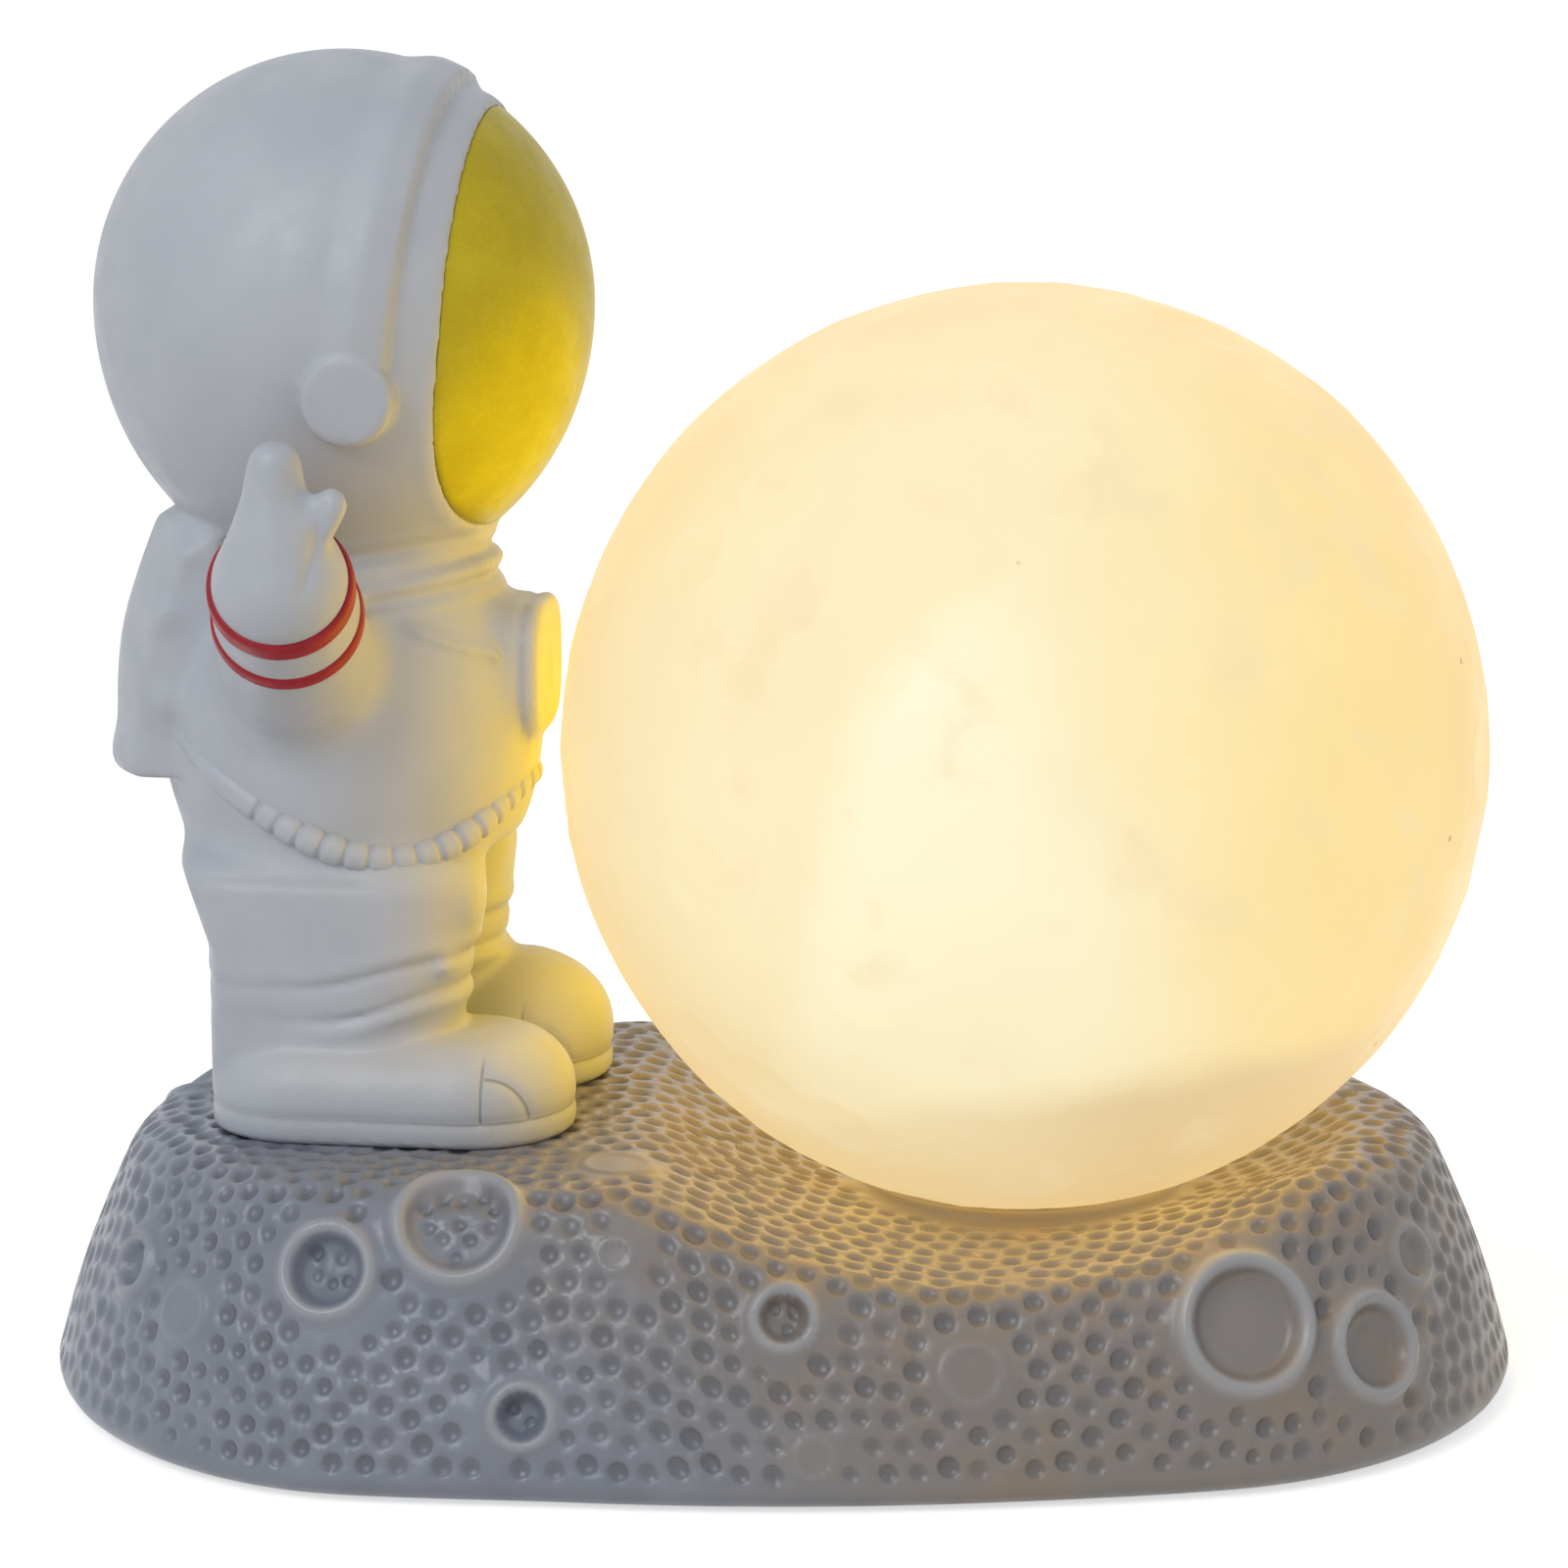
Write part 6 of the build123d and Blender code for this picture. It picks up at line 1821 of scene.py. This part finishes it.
    def build(self, shop: Workshop) -> None:
        """Builds the base."""
        craters = self.crater_marks()
        rows, sizes, depths = self.dimples(craters)
        points, sinks = [], []
        for row, radius, depth in zip(rows, sizes, depths):
            start = self.random.random() * 6.28
            for share, count, sink in self.PIT_RINGS:
                points.append(self.ring(row, radius * share, count, start))
                sinks.append(np.full(count, sink * depth))
            points.append(row[None, :2])
            sinks.append(np.array([depth]))
        for crater, middle, _ in craters:
            for radius in crater.rings():
                circle = self.ring(middle, radius, max(8, int(radius * 8.0)), 0.0)
                gaps = np.linalg.norm(circle[:, None] - rows[None, :, :2], axis=2) - sizes
                circle = circle[np.min(gaps, axis=1) > 0.12]
                points.append(circle)
                sinks.append(np.zeros(len(circle)))
        plain = [self.filler(rows, craters), *self.seat_rings()]
        points += plain
        sinks += [np.zeros(len(part)) for part in plain]
        flat, sink = np.concatenate(points), np.concatenate(sinks)
        inside = self.inside(flat, 4.1)
        loops = [self.loop(back) for back in np.linspace(0.0, self.rim_back, self.rim_loops)]
        plan = np.concatenate([*loops, flat[inside]])
        sink = np.concatenate([np.zeros(self.edge * len(loops)), sink[inside]])
        self.finish(shop, plan, sink, craters)

    def loop(self, back: float) -> Array:
        """Plan points round the base, this far before its lower end."""
        angles = full_turn(self.edge)
        flat = np.column_stack([np.cos(angles) * (self.half_length - self.inset), np.sin(angles) * 40.0])
        for _ in range(self.rounds):
            distance, outward = self.plan(flat)
            flat = flat + outward * (self.last(flat) - back - distance)[:, None]
        return flat

    def seat_rings(self) -> list[Array]:
        """Plan points of the circles round the globe's seat."""
        angles = full_turn(self.seat_points)
        return [
            np.column_stack([self.globe_x + far * np.cos(angles), far * np.sin(angles)])
            for far in (self.seat_radius - 0.4, self.seat_radius, self.seat_radius + self.seat_step)
        ]

    def filler(self, rows: Array, craters: list) -> Array:
        """Plain points where no dimple lies.

        Args:
            rows: Framed plan points of the dimples.
            craters: Craters with their places.

        Returns:
            The plan points.
        """
        grid = self.grid(self.fill_step)
        grid = grid + (self.random.random(grid.shape) - 0.5) * self.fill_jitter
        grid = grid[self.inside(grid, 4.6)]
        gaps = np.array([np.min(np.hypot(rows[:, 0] - point[0], rows[:, 1] - point[1])) for point in grid])
        grid = grid[gaps > self.pit_radius + self.fill_gap]
        spots = self.lift_up(grid)
        clear = np.abs(self.from_globe(spots) - self.seat_radius - self.seat_step) > 1.4
        for crater, _, place in craters:
            clear &= np.linalg.norm(spots - place, axis=1) > crater.radius + 2.2 * crater.wide + 0.5
        return grid[clear]

    def finish(self, shop: Workshop, plan: Array, sinks: Array, craters: list) -> None:
        """Joins the plan points to a skin, closes it below and makes the piece.

        Args:
            shop: Makes the piece.
            plan: Plan points, the loops along the rim first.
            sinks: Depth of each point below the smooth base.
            craters: Craters with their places.
        """
        rim = list(range(self.edge))
        made = geometry.delaunay_2d_cdt([Vector(p) for p in plan.tolist()], [], [rim], 1, 1e-4, True)
        order = np.array([origin[0] for origin in made[3]])
        plan, sinks = plan[order], sinks[order]
        place = np.empty(order.max() + 1, int)
        place[order] = np.arange(len(order))
        spots = self.lift_up(plan)
        height = -sinks
        for crater, _, middle in craters:
            height = height + crater.height(np.linalg.norm(spots - middle, axis=1))
        spots = spots + self.normals(plan) * height[:, None]
        faces = [list(face) for face in made[2]]
        border = [int(place[k]) for k in rim]
        under, sides = self.underside(plan[border], border, len(spots))
        points = np.concatenate([spots, under])
        pit = np.zeros(len(points))
        # pit: share of dimple depth less crater rim height, which the base finish turns into painted shade
        # and a painted highlight
        pit[: len(sinks)] = np.clip(sinks / self.pit_depth, 0.0, 1.0) - np.clip(height, 0.0, 1.0)
        shop.piece("moonscape", points, faces + sides, Slot.BASE, ("base_shell",), None, {"pit": pit})

    def underside(self, flat: Array, border: list[int], start: int) -> tuple[Array, list]:
        """Closes the base below with the cover's rebate and the room for the works.

        Args:
            flat: Plan points of the rim.
            border: Their point numbers.
            start: Number of the first new point.

        Returns:
            New points and faces.
        """
        distance, outward = self.plan(flat)
        root = flat - outward * distance[:, None]
        rings, extra, faces = [border], [], []
        for inset, z in ((4.5, 1.0), (4.5, self.rebate_z), (12.0, self.rebate_z), (12.0, self.room_top)):
            first = start + self.edge * len(extra)
            extra.append(np.column_stack([root + outward * (self.inset - inset), np.full(self.edge, z)]))
            rings.append(list(range(first, first + self.edge)))
        for upper, lower in zip(rings, rings[1:]):
            for i in range(self.edge):
                j = (i + 1) % self.edge
                faces.append([upper[j], upper[i], lower[i], lower[j]])
        top = start + self.edge * len(extra)
        faces += [[rings[-1][(i + 1) % self.edge], rings[-1][i], top] for i in range(self.edge)]
        return np.concatenate([*extra, np.array([[0.0, 0.0, self.room_top]])]), faces


@dataclass
class InnerParts:
    """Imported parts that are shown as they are, in better finishes."""

    WORN = {
        Slot.COVER: ("bottom_cover", "battery_door"),
        Slot.SWITCH: ("battery_box", "switch_body"),
        Slot.STEEL: ("cover_screws", "contacts_front", "contacts_rear", "switch_screws", "foot_pins"),
        Slot.PAD: ("foot_pads",),
        Slot.HOLDER: ("switch_slider", "lamp_holder"),
        Slot.BOARD: ("led_board",),
        Slot.LED: ("led_chips",),
        Slot.LEAD_RED: ("lead_battery", "lead_switch"),
        Slot.LEAD_BLACK: ("lead_return",),
        Slot.CELL: ("battery_cell_1", "battery_cell_2", "battery_cell_3"),
    }

    def dress(self, shop: Workshop) -> None:
        """Gives every part that nothing replaces its finish."""
        for slot, names in self.WORN.items():
            for name in names:
                shop.paints.coat(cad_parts[name], slot)
                LOG.info("%s dressed as %s", name, slot.value)


@dataclass
class Studio:
    """Floor, light and camera."""

    distance: float = 520.0
    elevation: float = math.radians(12.0)
    target_z: float = 61.8
    lens: float = 117.4
    ambient: float = 0.5
    floor_half: float = 4.0

    LAMPS = (
        ("key", (-380.0, -500.0, 560.0), 420.0, 2.1),
        ("fill", (480.0, -360.0, 380.0), 420.0, 0.25),
    )
    GLOWS = (
        ("figure_glow", 0.18, (1.0, 0.63, 0.04), ("moon_ball", "moonscape", "visor_cap"), "EXCLUDE"),
        ("base_glow", 0.155, (1.0, 0.65, 0.2), ("moonscape",), "INCLUDE"),
        ("visor_glow", 0.18, (1.0, 0.82, 0.08), ("visor_cap",), "INCLUDE"),
    )

    def build(self) -> None:
        """Sets the stage."""
        self.floor()
        self.world()
        for lamp in self.LAMPS:
            self.lamp(*lamp)
        for glow in self.GLOWS:
            self.globe_glow(MoonGlobe(), *glow)
        self.camera()
        view = bpy.context.scene.view_settings
        view.view_transform = "Standard"

    def floor(self) -> None:
        """Lays a wide white floor that keeps the lamp's shadow."""
        mesh = bpy.data.meshes.new("floor")
        half = self.floor_half
        corners = [(-half, -half, 0.0), (half, -half, 0.0), (half, half, 0.0), (-half, half, 0.0)]
        mesh.from_pydata(corners, [], [(0, 1, 2, 3)])
        item = bpy.data.objects.new("floor", mesh)
        bpy.context.scene.collection.objects.link(item)
        paint = bpy.data.materials.new("floor_paper")
        paint.use_nodes = True
        wire = Wiring(paint.node_tree)
        shader = paint.node_tree.nodes["Principled BSDF"]
        shader.inputs["Base Color"].default_value = (0.8, 0.8, 0.8, 1.0)
        shader.inputs["Roughness"].default_value = 0.9
        shader.inputs["Emission Color"].default_value = (1.0, 1.0, 1.0, 1.0)
        wire.feed(shader.inputs["Emission Strength"], wire.product(self.seen(wire), 0.6))
        behind = wire.node("ShaderNodeNewGeometry").outputs["Backfacing"]
        wire.feed(shader.inputs["Alpha"], wire.less(1.0, behind))
        mesh.materials.append(paint)

    def seen(self, wire: Wiring) -> object:
        """Share of rays that show the background: camera, glossy and transmission rays."""
        path = wire.node("ShaderNodeLightPath")
        glossy = wire.math("MAXIMUM", path.outputs["Is Camera Ray"], path.outputs["Is Glossy Ray"])
        return wire.math("MAXIMUM", glossy, path.outputs["Is Transmission Ray"])

    def world(self) -> None:
        """Gives an even pale light all round, with a white background."""
        world = bpy.data.worlds.new("studio")
        world.use_nodes = True
        wire = Wiring(world.node_tree)
        back = world.node_tree.nodes["Background"]
        back.inputs["Color"].default_value = (0.97, 0.985, 1.0, 1.0)
        strength = wire.node("ShaderNodeMapRange")
        wire.feed(strength.inputs["Value"], self.seen(wire))
        strength.inputs["To Min"].default_value = self.ambient
        strength.inputs["To Max"].default_value = 1.0
        wire.feed(back.inputs["Strength"], strength.outputs["Result"])
        bpy.context.scene.world = world

    def lamp(self, name: str, place: Triple, size: float, power: float) -> None:
        """Hangs one soft square light that faces the lamp.

        Args:
            name: Its name.
            place: Where it hangs.
            size: Its side.
            power: Its power in watts.
        """
        light = bpy.data.lights.new(name, "AREA")
        light.shape = "SQUARE"
        light.size = size * MM
        light.energy = power
        item = bpy.data.objects.new(name, light)
        item.location = Vector(place) * MM
        aim = Vector((0.0, 0.0, self.target_z)) - Vector(place)
        item.rotation_euler = aim.to_track_quat("-Z", "Y").to_euler()
        bpy.context.scene.collection.objects.link(item)

    def globe_glow(
        self, globe: MoonGlobe, name: str, power: float, colour: Colour, pieces: tuple[str, ...], state: str
    ) -> None:
        """Lets the lit globe throw its warm light on some of what stands round it.

        Args:
            globe: The globe.
            name: Name of the light.
            power: Its power in watts.
            colour: Its colour.
            pieces: Pieces that alone get the light, or that don't get it.
            state: Which of the two.
        """
        light = bpy.data.lights.new(name, "POINT")
        light.color = colour
        light.energy = power
        light.shadow_soft_size = (globe.radius + 0.15) * MM
        light.use_soft_falloff = False
        item = bpy.data.objects.new(name, light)
        item.location = Vector((globe.x, 0.0, globe.z)) * MM
        item.visible_camera = False
        bpy.context.scene.collection.objects.link(item)
        item.light_linking.receiver_collection = self.linked(name + "_on", pieces, state)
        item.light_linking.blocker_collection = self.linked(name + "_through", (globe.NAME,), "EXCLUDE")

    def linked(self, name: str, pieces: tuple[str, ...], state: str) -> bpy.types.Collection:
        """Returns a new collection of pieces, all with this light linking state."""
        made = bpy.data.collections.new(name)
        for piece in pieces:
            made.objects.link(bpy.data.objects[piece])
        for entry in made.collection_objects:
            entry.light_linking.link_state = state
        return made

    def camera(self) -> None:
        """Places the camera of the photo."""
        data = bpy.data.cameras.new("camera")
        data.lens = self.lens
        data.sensor_width = 36.0
        data.clip_start = 0.01
        data.clip_end = 50.0
        item = bpy.data.objects.new("camera", data)
        back = self.distance * math.cos(self.elevation)
        up = self.target_z + self.distance * math.sin(self.elevation)
        item.location = Vector((0.0, -back, up)) * MM
        item.rotation_euler = (math.pi / 2.0 - self.elevation, 0.0, 0.0)
        bpy.context.scene.collection.objects.link(item)
        bpy.context.scene.camera = item


def main() -> None:
    """Builds the lamp's looks."""
    logging.basicConfig(level=logging.INFO, format="%(name)s %(message)s")
    shop = Workshop(Paints())
    stance = Stance()
    MoonBase().build(shop)
    MoonGlobe().build(shop)
    Figure(stance).build(shop)
    SleeveStripes(stance).build(shop)
    WaistHose(stance).build(shop)
    InnerParts().dress(shop)
    Studio().build()


if __name__ == "__main__":
    main()
